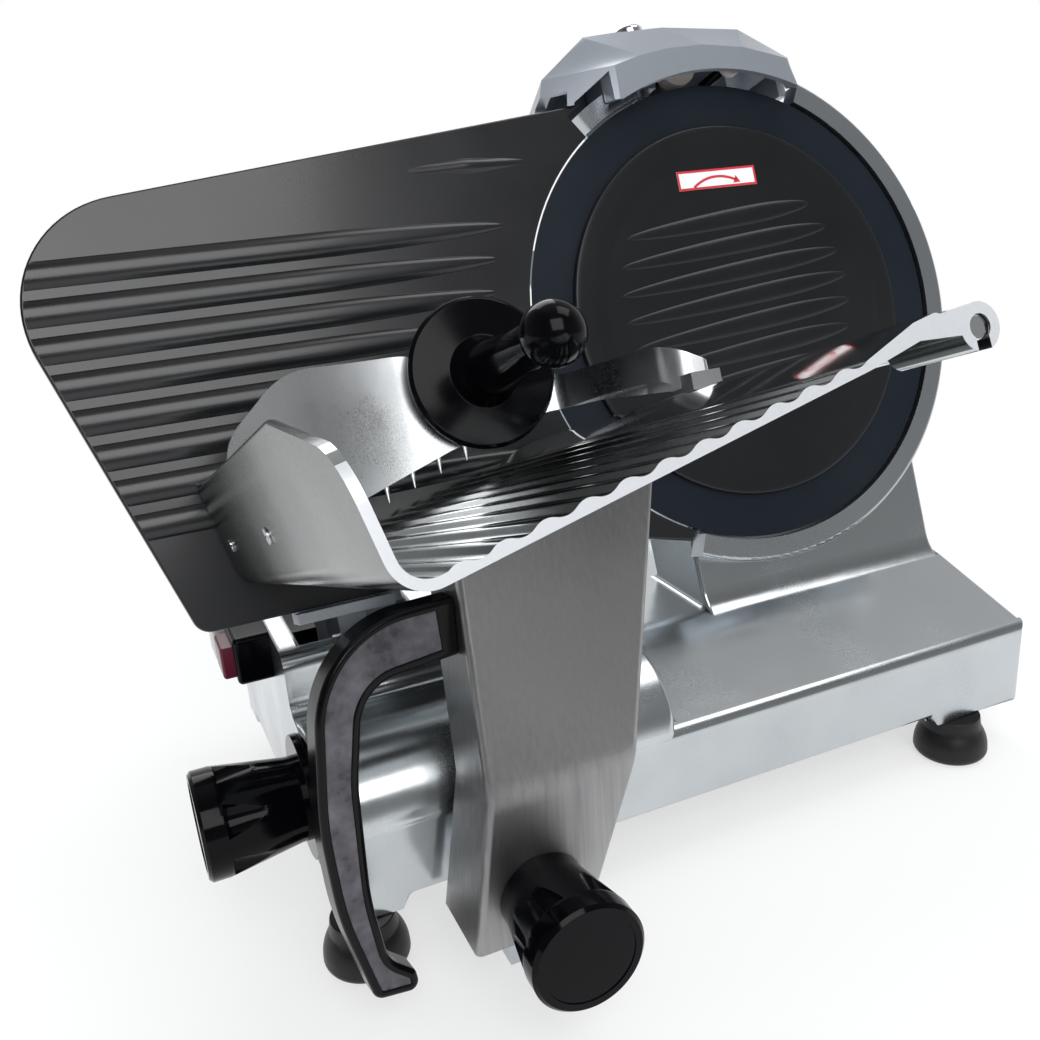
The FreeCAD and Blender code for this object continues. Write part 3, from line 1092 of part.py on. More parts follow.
def make_carriage():
    """The block that slides on the rod, its bushes and roller, and the link under the base to the post."""
    x0 = LINK_X - LINK_WIDTH / 2.0
    x1 = LINK_X + LINK_WIDTH / 2.0
    block_left = LINK_X - CARRIAGE_LENGTH / 2.0
    block_right = LINK_X + CARRIAGE_LENGTH / 2.0
    inside = ARM_FRONT_Y + ARM_WALL
    link_top = LINK_BOTTOM + LINK_HEIGHT
    post = box(x0, x1, inside, inside + 30.0, LINK_BOTTOM, ARM_KNOB_Z + 18.0)
    link = box(x0, x1, inside, ROD_Y + 16.0, LINK_BOTTOM, link_top)
    rise = box(x0, x1, ROD_Y - 16.0, ROD_Y + 16.0, LINK_BOTTOM, ROD_Z)
    block = box(block_left, block_right, ROD_Y - 13.0, ROD_Y + 13.0, ROD_Z - 11.5, ROD_Z + 11.5)
    ear = box(LINK_X - 9.0, LINK_X + 9.0, ROD_Y + 13.0, GUIDE_Y - 11.0, ROD_Z - 9.0, ROD_Z + 20.0)
    block = fillet_where(block, 3.0, lambda middle, edge: abs(edge.Length - CARRIAGE_LENGTH) < 0.01)
    body = fuse([post, link, rise, block, ear])
    bush_radius = ROD_RADIUS + 2.5
    body = body.cut(rod(ROD_RADIUS + 0.5, V(block_left - 1, ROD_Y, ROD_Z), V(block_right + 1, ROD_Y, ROD_Z)))
    bushes = []
    for start in (block_left, block_right - 20.0):
        low = V(start, ROD_Y, ROD_Z)
        high = V(start + 20.0, ROD_Y, ROD_Z)
        body = body.cut(rod(bush_radius, low, high))
        bushes.append(tube(bush_radius, ROD_RADIUS + RUNNING_GAP, low, high))
    roller_z = ROD_Z + GUIDE_SIZE / 2.0 + ROLLER_RADIUS + 0.2
    axle_start = V(LINK_X, GUIDE_Y - 15.0, roller_z)
    axle_end = V(LINK_X, GUIDE_Y + 6.0, roller_z)
    axle = rod(3.0, axle_start, axle_end)
    axle_head = rod(5.0, axle_end - Y_AXIS * 1.5, axle_end)
    body = body.cut(axle)
    stud_start = V(LINK_X, ARM_FRONT_Y - 1.0, ARM_KNOB_Z)
    stud_end = V(LINK_X, inside + 22.0, ARM_KNOB_Z)
    body = body.cut(rod(STUD_RADIUS + RUNNING_GAP, stud_start, stud_end + Y_AXIS))
    save("carriage_bushes", *bushes)
    save("carriage_block", body, fuse([axle, axle_head]))
    save("carriage_roller", tube(ROLLER_RADIUS, 3.0 + RUNNING_GAP, V(LINK_X, GUIDE_Y - 5.0, roller_z),
                                 V(LINK_X, GUIDE_Y + 4.2, roller_z)))
    knob_start = ARM_FRONT_Y - 0.4
    bore = 22.0
    save("arm_knob_stud", rod(STUD_RADIUS, V(LINK_X, knob_start - bore, ARM_KNOB_Z), stud_end))
    make_knob("arm_knob", V(LINK_X, knob_start, ARM_KNOB_Z), Y_AXIS * -1, ARM_KNOB_LENGTH, STUD_RADIUS, bore)


def in_tray(shape):
    """Move a shape from tray coordinates (s along the floor, w along the wall, n) to its place."""
    local = FreeCAD.Placement(V(TRAY_CORNER_X, TRAY_CORNER_U, 0), FreeCAD.Rotation(Z_AXIS, TRAY_TURN))
    placed = shape.copy()
    placed.Placement = BLADE_PLACE.multiply(local).multiply(placed.Placement)
    return placed


def floor_waves():
    """Edges of the wavy top of the tray floor, from left to right, as arcs of alternate bend."""
    edges = []
    low = TRAY_FLOOR
    middle = TRAY_FLOOR + WAVE_HEIGHT / 2.0
    quarter = WAVE_PITCH / 4.0
    for index in range(WAVE_COUNT):
        s = WAVE_START + WAVE_PITCH * index
        rise = V(s, middle, 0)
        top = V(s + quarter, low + WAVE_HEIGHT, 0)
        fall = V(s + 2 * quarter, middle, 0)
        bottom = V(s + 3 * quarter, low, 0)
        end = V(s + 4 * quarter, middle, 0)
        edges.append(Part.Arc(rise, top, fall).toShape())
        edges.append(Part.Arc(fall, bottom, end).toShape())
    return edges


def make_tray():
    """The food tray: one profile with wall, wavy floor and neck, and a hook at each end for the rod."""
    middle = TRAY_FLOOR + WAVE_HEIGHT / 2.0
    wave_end = WAVE_START + WAVE_PITCH * WAVE_COUNT
    radius = TRAY_CORNER_RADIUS
    inner = radius - TRAY_WALL
    lean = math.sqrt(0.5)
    corner_out = V(radius - radius * lean, radius - radius * lean, 0)
    centre_in = V(TRAY_WALL + inner, middle + inner, 0)
    corner_in = V(centre_in.x - inner * lean, centre_in.y - inner * lean, 0)
    half = TRAY_WALL / 2.0
    top = TRAY_WALL_HEIGHT - half
    crest = TRAY_FLOOR + WAVE_HEIGHT + NECK_RISE + 1.9
    neck_low = crest - NECK_THICKNESS
    end_s = HOOK_S - HOOK_RADIUS - 6.2
    edges = [Part.Arc(V(0, radius, 0), corner_out, V(radius, 0, 0)).toShape(),
             Part.LineSegment(V(radius, 0, 0), V(wave_end, 0, 0)).toShape(),
             Part.LineSegment(V(wave_end, 0, 0), V(NECK_S, neck_low, 0)).toShape(),
             Part.LineSegment(V(NECK_S, neck_low, 0), V(end_s, neck_low - 0.4, 0)).toShape(),
             Part.Arc(V(end_s, neck_low - 0.4, 0), V(end_s + 2.3, (neck_low + crest) / 2.0, 0),
                      V(end_s, crest, 0)).toShape(),
             Part.LineSegment(V(end_s, crest, 0), V(NECK_S, crest, 0)).toShape(),
             Part.LineSegment(V(NECK_S, crest, 0), V(wave_end, middle, 0)).toShape()]
    edges += [edge for edge in reversed(floor_waves())]
    edges += [Part.LineSegment(V(WAVE_START, middle, 0), V(centre_in.x, middle, 0)).toShape(),
              Part.Arc(V(centre_in.x, middle, 0), corner_in, V(TRAY_WALL, centre_in.y, 0)).toShape(),
              Part.LineSegment(V(TRAY_WALL, centre_in.y, 0), V(TRAY_WALL, top, 0)).toShape(),
              Part.Arc(V(TRAY_WALL, top, 0), V(half, TRAY_WALL_HEIGHT, 0), V(0, top, 0)).toShape(),
              Part.LineSegment(V(0, top, 0), V(0, radius, 0)).toShape()]
    wire = Part.Wire(Part.__sortEdges__(edges))
    length = TRAY_NEAR - TRAY_FAR
    tray = Part.Face(wire).extrude(V(0, 0, length))
    tray.translate(V(0, 0, TRAY_FAR))

    centre = V(HOOK_S, HOOK_W, 0)
    slot_turn = -100.0
    for low in (TRAY_FAR, TRAY_NEAR - LUG_LENGTH):
        hook = rod(HOOK_RADIUS, centre + Z_AXIS * low, centre + Z_AXIS * (low + LUG_LENGTH))
        bridge = prism([(NECK_S, neck_low, 0), (HOOK_S - 3.0, HOOK_W - 1.0, 0),
                        (HOOK_S, HOOK_W + HOOK_RADIUS, 0),
                        (NECK_S, crest, 0)], low, low + LUG_LENGTH)
        mouth = Part.makeBox(4.6, 12.0, LUG_LENGTH + 2, V(-2.3, 0.0, low - 1))
        mouth.rotate(V(0, 0, 0), Z_AXIS, slot_turn - 90.0)
        mouth.translate(centre)
        hook = hook.fuse(bridge)
        hook = hook.cut(mouth)
        tray = tray.fuse(hook)
    tray = tray.removeSplitter()
    tray = tray.cut(rod(PUSHER_ROD_RADIUS, centre, centre + Z_AXIS * (TRAY_NEAR + 10)))
    beyond = TRAY_NEAR + 4.0
    above = TRAY_WALL_HEIGHT + 4.0
    slope = side_prism([(above, SLOPE_START, 0), (TRAY_WALL_HEIGHT, SLOPE_START, 0),
                        (SLOPE_LOW, TRAY_NEAR, 16.0),
                        (SLOPE_LOW - 20.0, TRAY_NEAR, 0), (SLOPE_LOW - 20.0, beyond, 0), (above, beyond, 0)],
                       -5.0, 8.0)
    tray = tray.cut(slope)

    holes = []
    for s in (88.0, 130.0):
        for n in (66.0, 126.0):
            holes.append(V(s, -ARM_FLANGE, n))
    screws = []
    for spot in holes:
        tray = tray.cut(rod(SCREW_RADIUS, spot, spot + Y_AXIS * (ARM_FLANGE + 1.3)))
        screws.append(in_tray(pan_screw(spot, Y_AXIS, SCREW_RADIUS, ARM_FLANGE + 1.3, SCREW_HEAD, 2.4)))
    marks = []
    for n in (33.0, 147.0):
        spot = V(0, 22.0, n)
        tray = tray.cut(rod(1.5, spot, spot + X_AXIS * 2.0))
        marks.append(in_tray(pan_screw(spot, X_AXIS, 1.5, 2.0, 3.0, 0.8)))
    save("food_tray", in_tray(tray))
    save("tray_screws", *screws, *marks)
    rod_shape = rod(PUSHER_ROD_RADIUS, centre + Z_AXIS * TRAY_FAR, centre + Z_AXIS * (TRAY_NEAR - 1.0))
    save("pusher_rod", in_tray(rod_shape))
    return holes


def rectangle(points):
    return Part.makePolygon(points + [points[0]])


def arm_section(left, right, front, back, inset):
    """A rectangle across the arm from its front line to its back line, drawn in by a wall."""
    pull = back.sub(front).normalize() * inset
    depth = back if inset == 0 else back + back.sub(front).normalize() * 10.0
    return rectangle([V(left + inset, front.y + pull.y, front.z + pull.z),
                      V(right - inset, front.y + pull.y, front.z + pull.z),
                      V(right - inset, depth.y, depth.z), V(left + inset, depth.y, depth.z)])


def arm_front_point(u, n):
    point = blade_point(0, u, n)
    return V(0, point.y, point.z)


def bend_point(n, y):
    """Where the leaning upper part (at n) meets the upright lower part (at y)."""
    z = (n + (y - BLADE_Y) * math.cos(TILT)) / math.sin(TILT) + BLADE_Z
    return V(0, y, z)


def make_arm(holes):
    """The channel shaped arm: upright below, leaning with the blade above, with a flange under the tray."""
    low_front = V(0, ARM_FRONT_Y, ARM_BOTTOM_Z)
    low_back = V(0, ARM_FRONT_Y + ARM_DEPTH, ARM_BOTTOM_Z)
    bend_front = bend_point(ARM_FRONT_N, ARM_FRONT_Y)
    bend_back = bend_point(ARM_FRONT_N - ARM_DEPTH, ARM_FRONT_Y + ARM_DEPTH)
    top_front = arm_front_point(ARM_TOP_U, ARM_FRONT_N)
    top_back = arm_front_point(ARM_TOP_U, ARM_FRONT_N - ARM_DEPTH)

    def channel(inset):
        rows = [(ARM_LEFT_BOTTOM, ARM_RIGHT_BOTTOM, low_front, low_back),
                (ARM_LEFT_BEND, ARM_RIGHT_BEND, bend_front, bend_back),
                (ARM_LEFT_TOP, ARM_RIGHT_TOP, top_front, top_back)]
        wires = [arm_section(left, right, front, back, inset) for left, right, front, back in rows]
        lower = Part.makeLoft(wires[:2], True, True)
        upper = Part.makeLoft(wires[1:], True, True)
        return lower, upper

    lower, upper = channel(0.0)
    lower_room, upper_room = channel(ARM_WALL)
    outer = lower.fuse(upper).removeSplitter()
    outer = fillet_where(outer, ARM_BEND_RADIUS,
                         lambda middle, edge: middle.sub(bend_front).cross(X_AXIS).Length < 0.1
                         and abs(edge.tangentAt(edge.FirstParameter).x) > 0.9)
    outer = fillet_where(outer, 3.0, lambda middle, edge: abs(edge.tangentAt(edge.FirstParameter).x) < 0.5
                         and is_front_edge(middle))
    room = lower_room.fuse(upper_room)
    room = room.fuse(box(ARM_LEFT_BOTTOM + ARM_WALL, ARM_RIGHT_BOTTOM - ARM_WALL, ARM_FRONT_Y + ARM_WALL,
                         ARM_FRONT_Y + ARM_DEPTH + 9.0, ARM_BOTTOM_Z - 5.0, ARM_BOTTOM_Z + 1.0))
    arm = outer.cut(room)
    above = in_tray(Part.makeBox(400.0, 200.0, 500.0, V(-100.0, 0.0, -50.0)))
    arm = arm.cut(above)
    flange_low = ARM_FRONT_N - ARM_DEPTH - 12.0
    flange = Part.makeBox(66.0, ARM_FLANGE, 86.0, V(76.0, -ARM_FLANGE, flange_low))
    arm = arm.fuse(in_tray(flange)).removeSplitter()
    for spot in holes:
        arm = arm.cut(in_tray(rod(SCREW_RADIUS, spot, spot + Y_AXIS * ARM_FLANGE)))
        arm = arm.cut(in_tray(rod(SCREW_HEAD + 0.5, spot, spot - Y_AXIS * 30.0)))
    rod_room = V(HOOK_S, HOOK_W, 0)
    arm = arm.cut(in_tray(rod(SLEEVE_RADIUS + ROD_ROOM, rod_room, rod_room + Z_AXIS * TRAY_NEAR)))
    arm = arm.cut(rod(STUD_RADIUS + 0.3, V(LINK_X, ARM_FRONT_Y - 1, ARM_KNOB_Z),
                      V(LINK_X, ARM_FRONT_Y + ARM_WALL + 1, ARM_KNOB_Z)))
    return arm


def is_front_edge(point):
    """Whether a point lies on the arm's front face, upright, leaning or in the bend between."""
    local = BLADE_PLACE.inverse().multVec(point)
    bend = bend_point(ARM_FRONT_N, ARM_FRONT_Y)
    near_bend = abs(point.y - bend.y) < 3.0 and abs(point.z - bend.z) < 10.0
    return abs(point.y - ARM_FRONT_Y) < 0.01 or abs(local.z - ARM_FRONT_N) < 0.01 or near_bend


def handle_place():
    turn = FreeCAD.Rotation(Z_AXIS, HANDLE_TURN)
    flat = FreeCAD.Rotation(X_AXIS, 90 - HANDLE_LEAN)
    return FreeCAD.Placement(V(HANDLE_X, HANDLE_Y, 0), turn.multiply(flat))


def handle_outline(end):
    """Outline of the handle in its own plane: the bar to the arm, the bend, the grip and its toe."""
    return [(end, 172.6, 0), (7.5, 173.3, 44.0), (-4.2, 97.0, 150.0), (-3.6, 58.0, 120.0), (4.7, 19.6, 5.0),
            (24.0, 16.3, 4.0), (23.0, 25.0, 3.0), (13.0, 34.0, 14.0), (10.6, 62.0, 120.0),
            (14.4, 110.0, 80.0), (23.0, 147.3, 19.0), (end, 149.6, 0)]


def handle_slab(end, border, low, high):
    """A slice of the handle between two depths, drawn in from its outline by a border."""
    face = Part.Face(rounded_wire(handle_outline(end)))
    if border > 0:
        face = face.makeOffset2D(-border)
    slab = face.extrude(V(0, 0, high - low))
    slab.translate(V(0, 0, low))
    return slab


def make_handle():
    """The black grip beside the arm and its pale inlay."""
    grip = handle_slab(HANDLE_END, 0.0, 0.0, HANDLE_DEPTH)
    grip = fillet_where(grip, 2.4, lambda middle, edge: abs(middle.z - HANDLE_DEPTH) < 0.01
                        and middle.x < HANDLE_END - 1.0)
    recess = handle_slab(INLAY_END, HANDLE_BORDER, HANDLE_DEPTH - INSERT_DEPTH, HANDLE_DEPTH + 1.0)
    grip = grip.cut(recess)
    inlay = handle_slab(INLAY_END, HANDLE_BORDER, HANDLE_DEPTH - INSERT_DEPTH, HANDLE_DEPTH - 0.5)
    place = handle_place()
    grip.Placement = place.multiply(grip.Placement)
    inlay.Placement = place.multiply(inlay.Placement)
    grip = max(grip.cut(arm_envelope()).Solids, key=lambda solid: solid.Volume)
    save("handle_grip", grip)
    save("handle_inlay", inlay)


def arm_envelope():
    """A block that ends at the arm's left side, to trim the handle where they meet."""
    low = V(ARM_LEFT_BOTTOM, 0, ARM_BOTTOM_Z)
    bend = V(ARM_LEFT_BEND, 0, bend_point(ARM_FRONT_N, ARM_FRONT_Y).z)
    top_z = arm_front_point(ARM_TOP_U, ARM_FRONT_N).z
    top = V(ARM_LEFT_TOP, 0, top_z)
    outline = [(low.x, low.z, 0), (bend.x, bend.z, 0), (top.x, top.z, 0), (top.x + 60, top.z, 0),
               (low.x + 60, low.z, 0)]
    return front_prism(outline, -220.0, -20.0)


def make_pusher():
    """The sleeve on the rod, the swinging arm with its plate and spikes, and the handle with its disc."""
    centre = V(HOOK_S, HOOK_W, 0)
    half = SLEEVE_LENGTH / 2.0
    collar = 5.0
    low = centre + Z_AXIS * (SLEEVE_N - half)
    high = centre + Z_AXIS * (SLEEVE_N + half)
    sleeve = rod(SLEEVE_RADIUS - 1.5, low, high)
    sleeve = fuse([sleeve, rod(SLEEVE_RADIUS, low, low + Z_AXIS * collar),
                   rod(SLEEVE_RADIUS, high - Z_AXIS * collar, high)])
    sleeve = sleeve.cut(rod(PUSHER_ROD_RADIUS + RUNNING_GAP, low, high))
    save("pusher_sleeve", in_tray(sleeve))

    local = FreeCAD.Placement(V(TRAY_CORNER_X, TRAY_CORNER_U, 0), FreeCAD.Rotation(Z_AXIS, TRAY_TURN))
    hub = local.multVec(centre)
    eye_half = half - collar - 0.1
    eye = tube(SLEEVE_RADIUS + 2.2, SLEEVE_RADIUS - 1.5 + RUNNING_GAP, V(hub.x, hub.y, SLEEVE_N - eye_half),
               V(hub.x, hub.y, SLEEVE_N + eye_half))
    thin = PUSHER_PLATE / 2.0
    face = PUSHER_FACE_N
    path = [(hub.x + 4.0, SLEEVE_N, 0), (hub.x - 8.0, SLEEVE_N - 2.0, 10.0), (-140.5, face + 2.0, 8.0),
            (-235.0, face - 3.0, 150.0), (-300.0, face + 14.0, 0)]
    strip = rounded_wire(path, closed=False).makeOffset2D(thin, fill=True, openResult=False)
    if not strip.Faces:
        strip = Part.Face(strip)
    wall = strip.extrude(V(0, 0, 200.0))
    wall.Placement = FreeCAD.Placement(V(0, 100.0, 0), FreeCAD.Rotation(X_AXIS, 90)).multiply(wall.Placement)
    wall = wall.mirror(V(0, 0, 0), Z_AXIS)
    if wall.BoundBox.ZMax < 0:
        wall = wall.mirror(V(0, 0, 0), Z_AXIS)
    outline = [(hub.x + 6.0, -38.0, 3.0), (-136.0, -28.0, 12.0), (-165.0, -14.0, 30.0), (-215.0, -5.0, 40.0),
               (-266.0, -5.0, 34.0), (-299.0, -34.0, 24.0), (-292.5, -64.0, 8.0), (-286.0, -74.0, 5.0),
               (-262.0, -70.0, 10.0), (-200.0, -50.0, 40.0), (-165.0, -41.0, 20.0), (-137.0, -40.0, 6.0),
               (hub.x - 6.0, -47.5, 2.0), (hub.x + 6.0, -47.5, 2.0)]
    keep = prism(outline, 0.0, 200.0)
    plate = wall.common(keep)
    plate = max(plate.Solids, key=lambda solid: solid.Volume)
    saddle = Part.makeBox(13.0, 9.0, 2 * eye_half, V(hub.x - 6.5, hub.y + 4.0, SLEEVE_N - eye_half))
    saddle = saddle.cut(rod(SLEEVE_RADIUS + 1.0, V(hub.x, hub.y, 0), V(hub.x, hub.y, 300)))
    boss = rod(STEM_RADIUS, V(PUSHER_X, PUSHER_U, face), V(PUSHER_X, PUSHER_U, face + 5.0))
    disc_low = V(PUSHER_X, PUSHER_U, face + thin + 1.5)
    plate = plate.cut(rod(DISC_RADIUS + 1.0, disc_low, disc_low + Z_AXIS * 60.0))
    plate = plate.multiFuse([eye, saddle, boss]).removeSplitter()
    spikes = []
    for index in range(SPIKE_COUNT):
        x = SPIKE_FIRST_X + index * SPIKE_PITCH
        slab = plate.common(box(x - 0.1, x + 0.1, -100.0, 20.0, face - 20.0, face + 40.0))
        u = slab.BoundBox.YMin
        edge = slab.common(box(x - 0.1, x + 0.1, u, u + 1.0, face - 20.0, face + 40.0))
        foot = V(x, u, edge.BoundBox.Center.z)
        root = rod(SPIKE_RADIUS, foot + Y_AXIS * 4.0, foot)
        point = Part.makeCone(SPIKE_RADIUS, 0.3, 7.0, foot, Y_AXIS * -1)
        plate = plate.cut(root).cut(point)
        spikes.append(tilted(root.fuse(point).removeSplitter()))
    stem_start = face + 5.0
    axis = V(PUSHER_X, PUSHER_U, 0)
    plate = plate.cut(rod(3.0, axis + Z_AXIS * (face - 3.0), axis + Z_AXIS * stem_start))
    save("pusher_spikes", *spikes)

    disc = Part.Face(Part.makePolygon([
        V(0, 0, stem_start), V(DISC_RADIUS - 2.0, 0, stem_start), V(DISC_RADIUS, 0, stem_start + 2.0),
        V(DISC_RADIUS, 0, stem_start + DISC_THICKNESS - 1.5),
        V(DISC_RADIUS - 1.5, 0, stem_start + DISC_THICKNESS),
        V(STEM_RADIUS + 7.0, 0, stem_start + DISC_THICKNESS + 1.5),
        V(STEM_RADIUS + 3.0, 0, stem_start + 16.0),
        V(STEM_RADIUS, 0, BALL_N - 20.0), V(STEM_RADIUS - 1.5, 0, BALL_N - 8.0), V(0, 0, BALL_N - 8.0),
        V(0, 0, stem_start)])).revolve(V(0, 0, 0), Z_AXIS, 360)
    ball = Part.makeSphere(BALL_RADIUS, V(0, 0, BALL_N))
    grip = disc.fuse(ball).removeSplitter()
    grip = grip.cut(rod(3.0, V(0, 0, stem_start - 1), V(0, 0, stem_start + 26.0)))
    grip.translate(axis)
    save("pusher_handle", tilted(grip))
    bolt = rod(3.0, axis + Z_AXIS * (face - 2.0), axis + Z_AXIS * (stem_start + 26.0))
    head = rod(5.5, axis + Z_AXIS * (face - 2.0), axis + Z_AXIS * (face - 4.6))
    save("pusher_arm", tilted(plate), tilted(bolt.fuse(head).removeSplitter()))


def make_switch():
    """Housing on the left end with a stop and a start button on springs, and the contact block behind."""
    outer = BASE_LEFT - SWITCH_DEPTH
    housing = box(outer, BASE_LEFT, SWITCH_Y - SWITCH_WIDTH / 2, SWITCH_Y + SWITCH_WIDTH / 2,
                  SWITCH_Z - SWITCH_HEIGHT / 2, SWITCH_Z + SWITCH_HEIGHT / 2)
    housing = fillet_where(housing, 2.5, lambda middle, edge: middle.x < BASE_LEFT - 1.0)
    block = box(BASE_LEFT, BASE_LEFT + 24.0, SWITCH_Y - CONTACT_HALF_WIDTH, SWITCH_Y + CONTACT_HALF_WIDTH,
                SWITCH_Z - CONTACT_HALF_HEIGHT, SWITCH_Z + CONTACT_HALF_HEIGHT)
    half_y = 9.0
    half_z = 8.0
    gap = 0.25
    for name, y in (("stop", SWITCH_Y - 11.0), ("start", SWITCH_Y + 11.0)):
        housing = housing.cut(box(outer - 1, BASE_LEFT - 2.0, y - half_y - gap, y + half_y + gap,
                                  SWITCH_Z - half_z - gap, SWITCH_Z + half_z + gap))
        face = box(outer - 6.0, outer + 4.5, y - half_y, y + half_y, SWITCH_Z - half_z, SWITCH_Z + half_z)
        face = fillet_where(face, 1.5, lambda middle, edge: middle.x < outer - 5.9)
        save(name + "_button", face)
        save(name + "_spring", tube(4.0, 3.0, V(outer + 4.5, y, SWITCH_Z), V(BASE_LEFT - 2.0, y, SWITCH_Z)))
    save("switch_housing", housing, block)


def main():
    make_blade()
    make_blade_pulley()
    make_blade_spindle()
    make_blade_cover()
    make_tie_rod()
    spots = make_guard_ring()
    base, block_hollow = make_base(spots)
    make_bases_fittings(base, block_hollow)
    make_feet()
    make_motor()
    make_deflector()
    make_sharpener()
    make_gauge_plate()
    make_thickness_control()
    make_carriage()
    holes = make_tray()
    save("carriage_arm", make_arm(holes))
    make_handle()
    make_pusher()
    make_switch()
    save("casting_screws", *casting_screws)


main()
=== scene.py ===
"""Looks of a gravity feed meat slicer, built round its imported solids.

Lengths are in metres, in the frame of the solids: X is the way the tray slides, Y points away
from the operator and Z points up. Blade coordinates are x to the right, u up the blade and n
out of its face, with their origin in the middle of the cutting edge.
"""

import json
import logging
import math
from dataclasses import dataclass, field
from enum import Enum
from typing import Callable, Iterable, Sequence

import bmesh
import bpy
from mathutils import Matrix, Vector

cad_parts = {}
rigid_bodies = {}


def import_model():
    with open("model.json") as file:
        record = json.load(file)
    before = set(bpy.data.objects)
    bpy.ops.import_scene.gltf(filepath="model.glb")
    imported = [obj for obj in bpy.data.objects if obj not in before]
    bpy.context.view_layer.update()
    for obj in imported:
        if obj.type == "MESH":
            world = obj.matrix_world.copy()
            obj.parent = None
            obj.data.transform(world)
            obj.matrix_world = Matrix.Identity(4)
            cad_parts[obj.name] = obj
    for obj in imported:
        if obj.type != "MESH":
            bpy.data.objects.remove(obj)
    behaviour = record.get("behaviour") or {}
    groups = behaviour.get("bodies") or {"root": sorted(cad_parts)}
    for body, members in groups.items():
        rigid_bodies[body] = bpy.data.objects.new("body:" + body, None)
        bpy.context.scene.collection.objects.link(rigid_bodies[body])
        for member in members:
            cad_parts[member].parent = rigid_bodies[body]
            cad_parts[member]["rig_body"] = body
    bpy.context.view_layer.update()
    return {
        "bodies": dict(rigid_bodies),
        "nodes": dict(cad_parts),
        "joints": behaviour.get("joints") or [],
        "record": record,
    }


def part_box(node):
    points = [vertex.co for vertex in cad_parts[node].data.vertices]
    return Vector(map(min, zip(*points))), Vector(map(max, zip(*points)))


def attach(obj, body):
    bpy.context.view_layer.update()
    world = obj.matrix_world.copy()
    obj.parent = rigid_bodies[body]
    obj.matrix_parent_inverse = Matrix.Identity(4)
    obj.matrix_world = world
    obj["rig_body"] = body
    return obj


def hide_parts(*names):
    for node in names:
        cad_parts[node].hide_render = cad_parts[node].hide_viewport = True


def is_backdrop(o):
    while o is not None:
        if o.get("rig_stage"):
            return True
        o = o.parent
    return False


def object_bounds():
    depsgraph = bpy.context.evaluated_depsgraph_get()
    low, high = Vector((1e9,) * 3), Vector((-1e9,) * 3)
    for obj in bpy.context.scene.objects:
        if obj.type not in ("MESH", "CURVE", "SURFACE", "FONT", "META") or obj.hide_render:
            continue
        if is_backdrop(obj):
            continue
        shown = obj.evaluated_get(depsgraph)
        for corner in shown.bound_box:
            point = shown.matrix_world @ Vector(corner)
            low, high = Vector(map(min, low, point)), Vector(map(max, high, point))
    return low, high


log = logging.getLogger("slicer")

Colour = tuple[float, float, float]

BLADE_TILT = math.radians(20.0)
BLADE_CENTRE = Vector((0.105, 0.007, 0.242))
ORIGIN = (0.0, 0.0, 0.0)
Z_AXIS = (0.0, 0.0, 1.0)
FULL_TURN = 2.0 * math.pi
WELD = 1e-7


def blade_matrix() -> Matrix:
    """Return the matrix from blade coordinates to the frame."""
    lean = math.sin(BLADE_TILT)
    rise = math.cos(BLADE_TILT)
    return Matrix(((1.0, 0.0, 0.0, BLADE_CENTRE.x), (0.0, lean, -rise, BLADE_CENTRE.y),
                   (0.0, rise, lean, BLADE_CENTRE.z), (0.0, 0.0, 0.0, 1.0)))


def axis_matrix(place: Vector, direction: Vector) -> Matrix:
    """Return a matrix that puts the origin at a place and +Z along a direction.

    Args:
        place: Where the origin goes.
        direction: Where +Z points.

    Returns:
        The matrix.
    """
    return Matrix.Translation(place) @ direction.to_track_quat("Z", "Y").to_matrix().to_4x4()


class Grain(Enum):
    """How the fine marks of a finish run."""

    EVEN = (1.0, 1.0, 1.0)
    UPRIGHT = (1.0, 1.0, 0.03)
    ALONG_X = (0.03, 1.0, 1.0)
    ALONG_Y = (1.0, 0.03, 1.0)


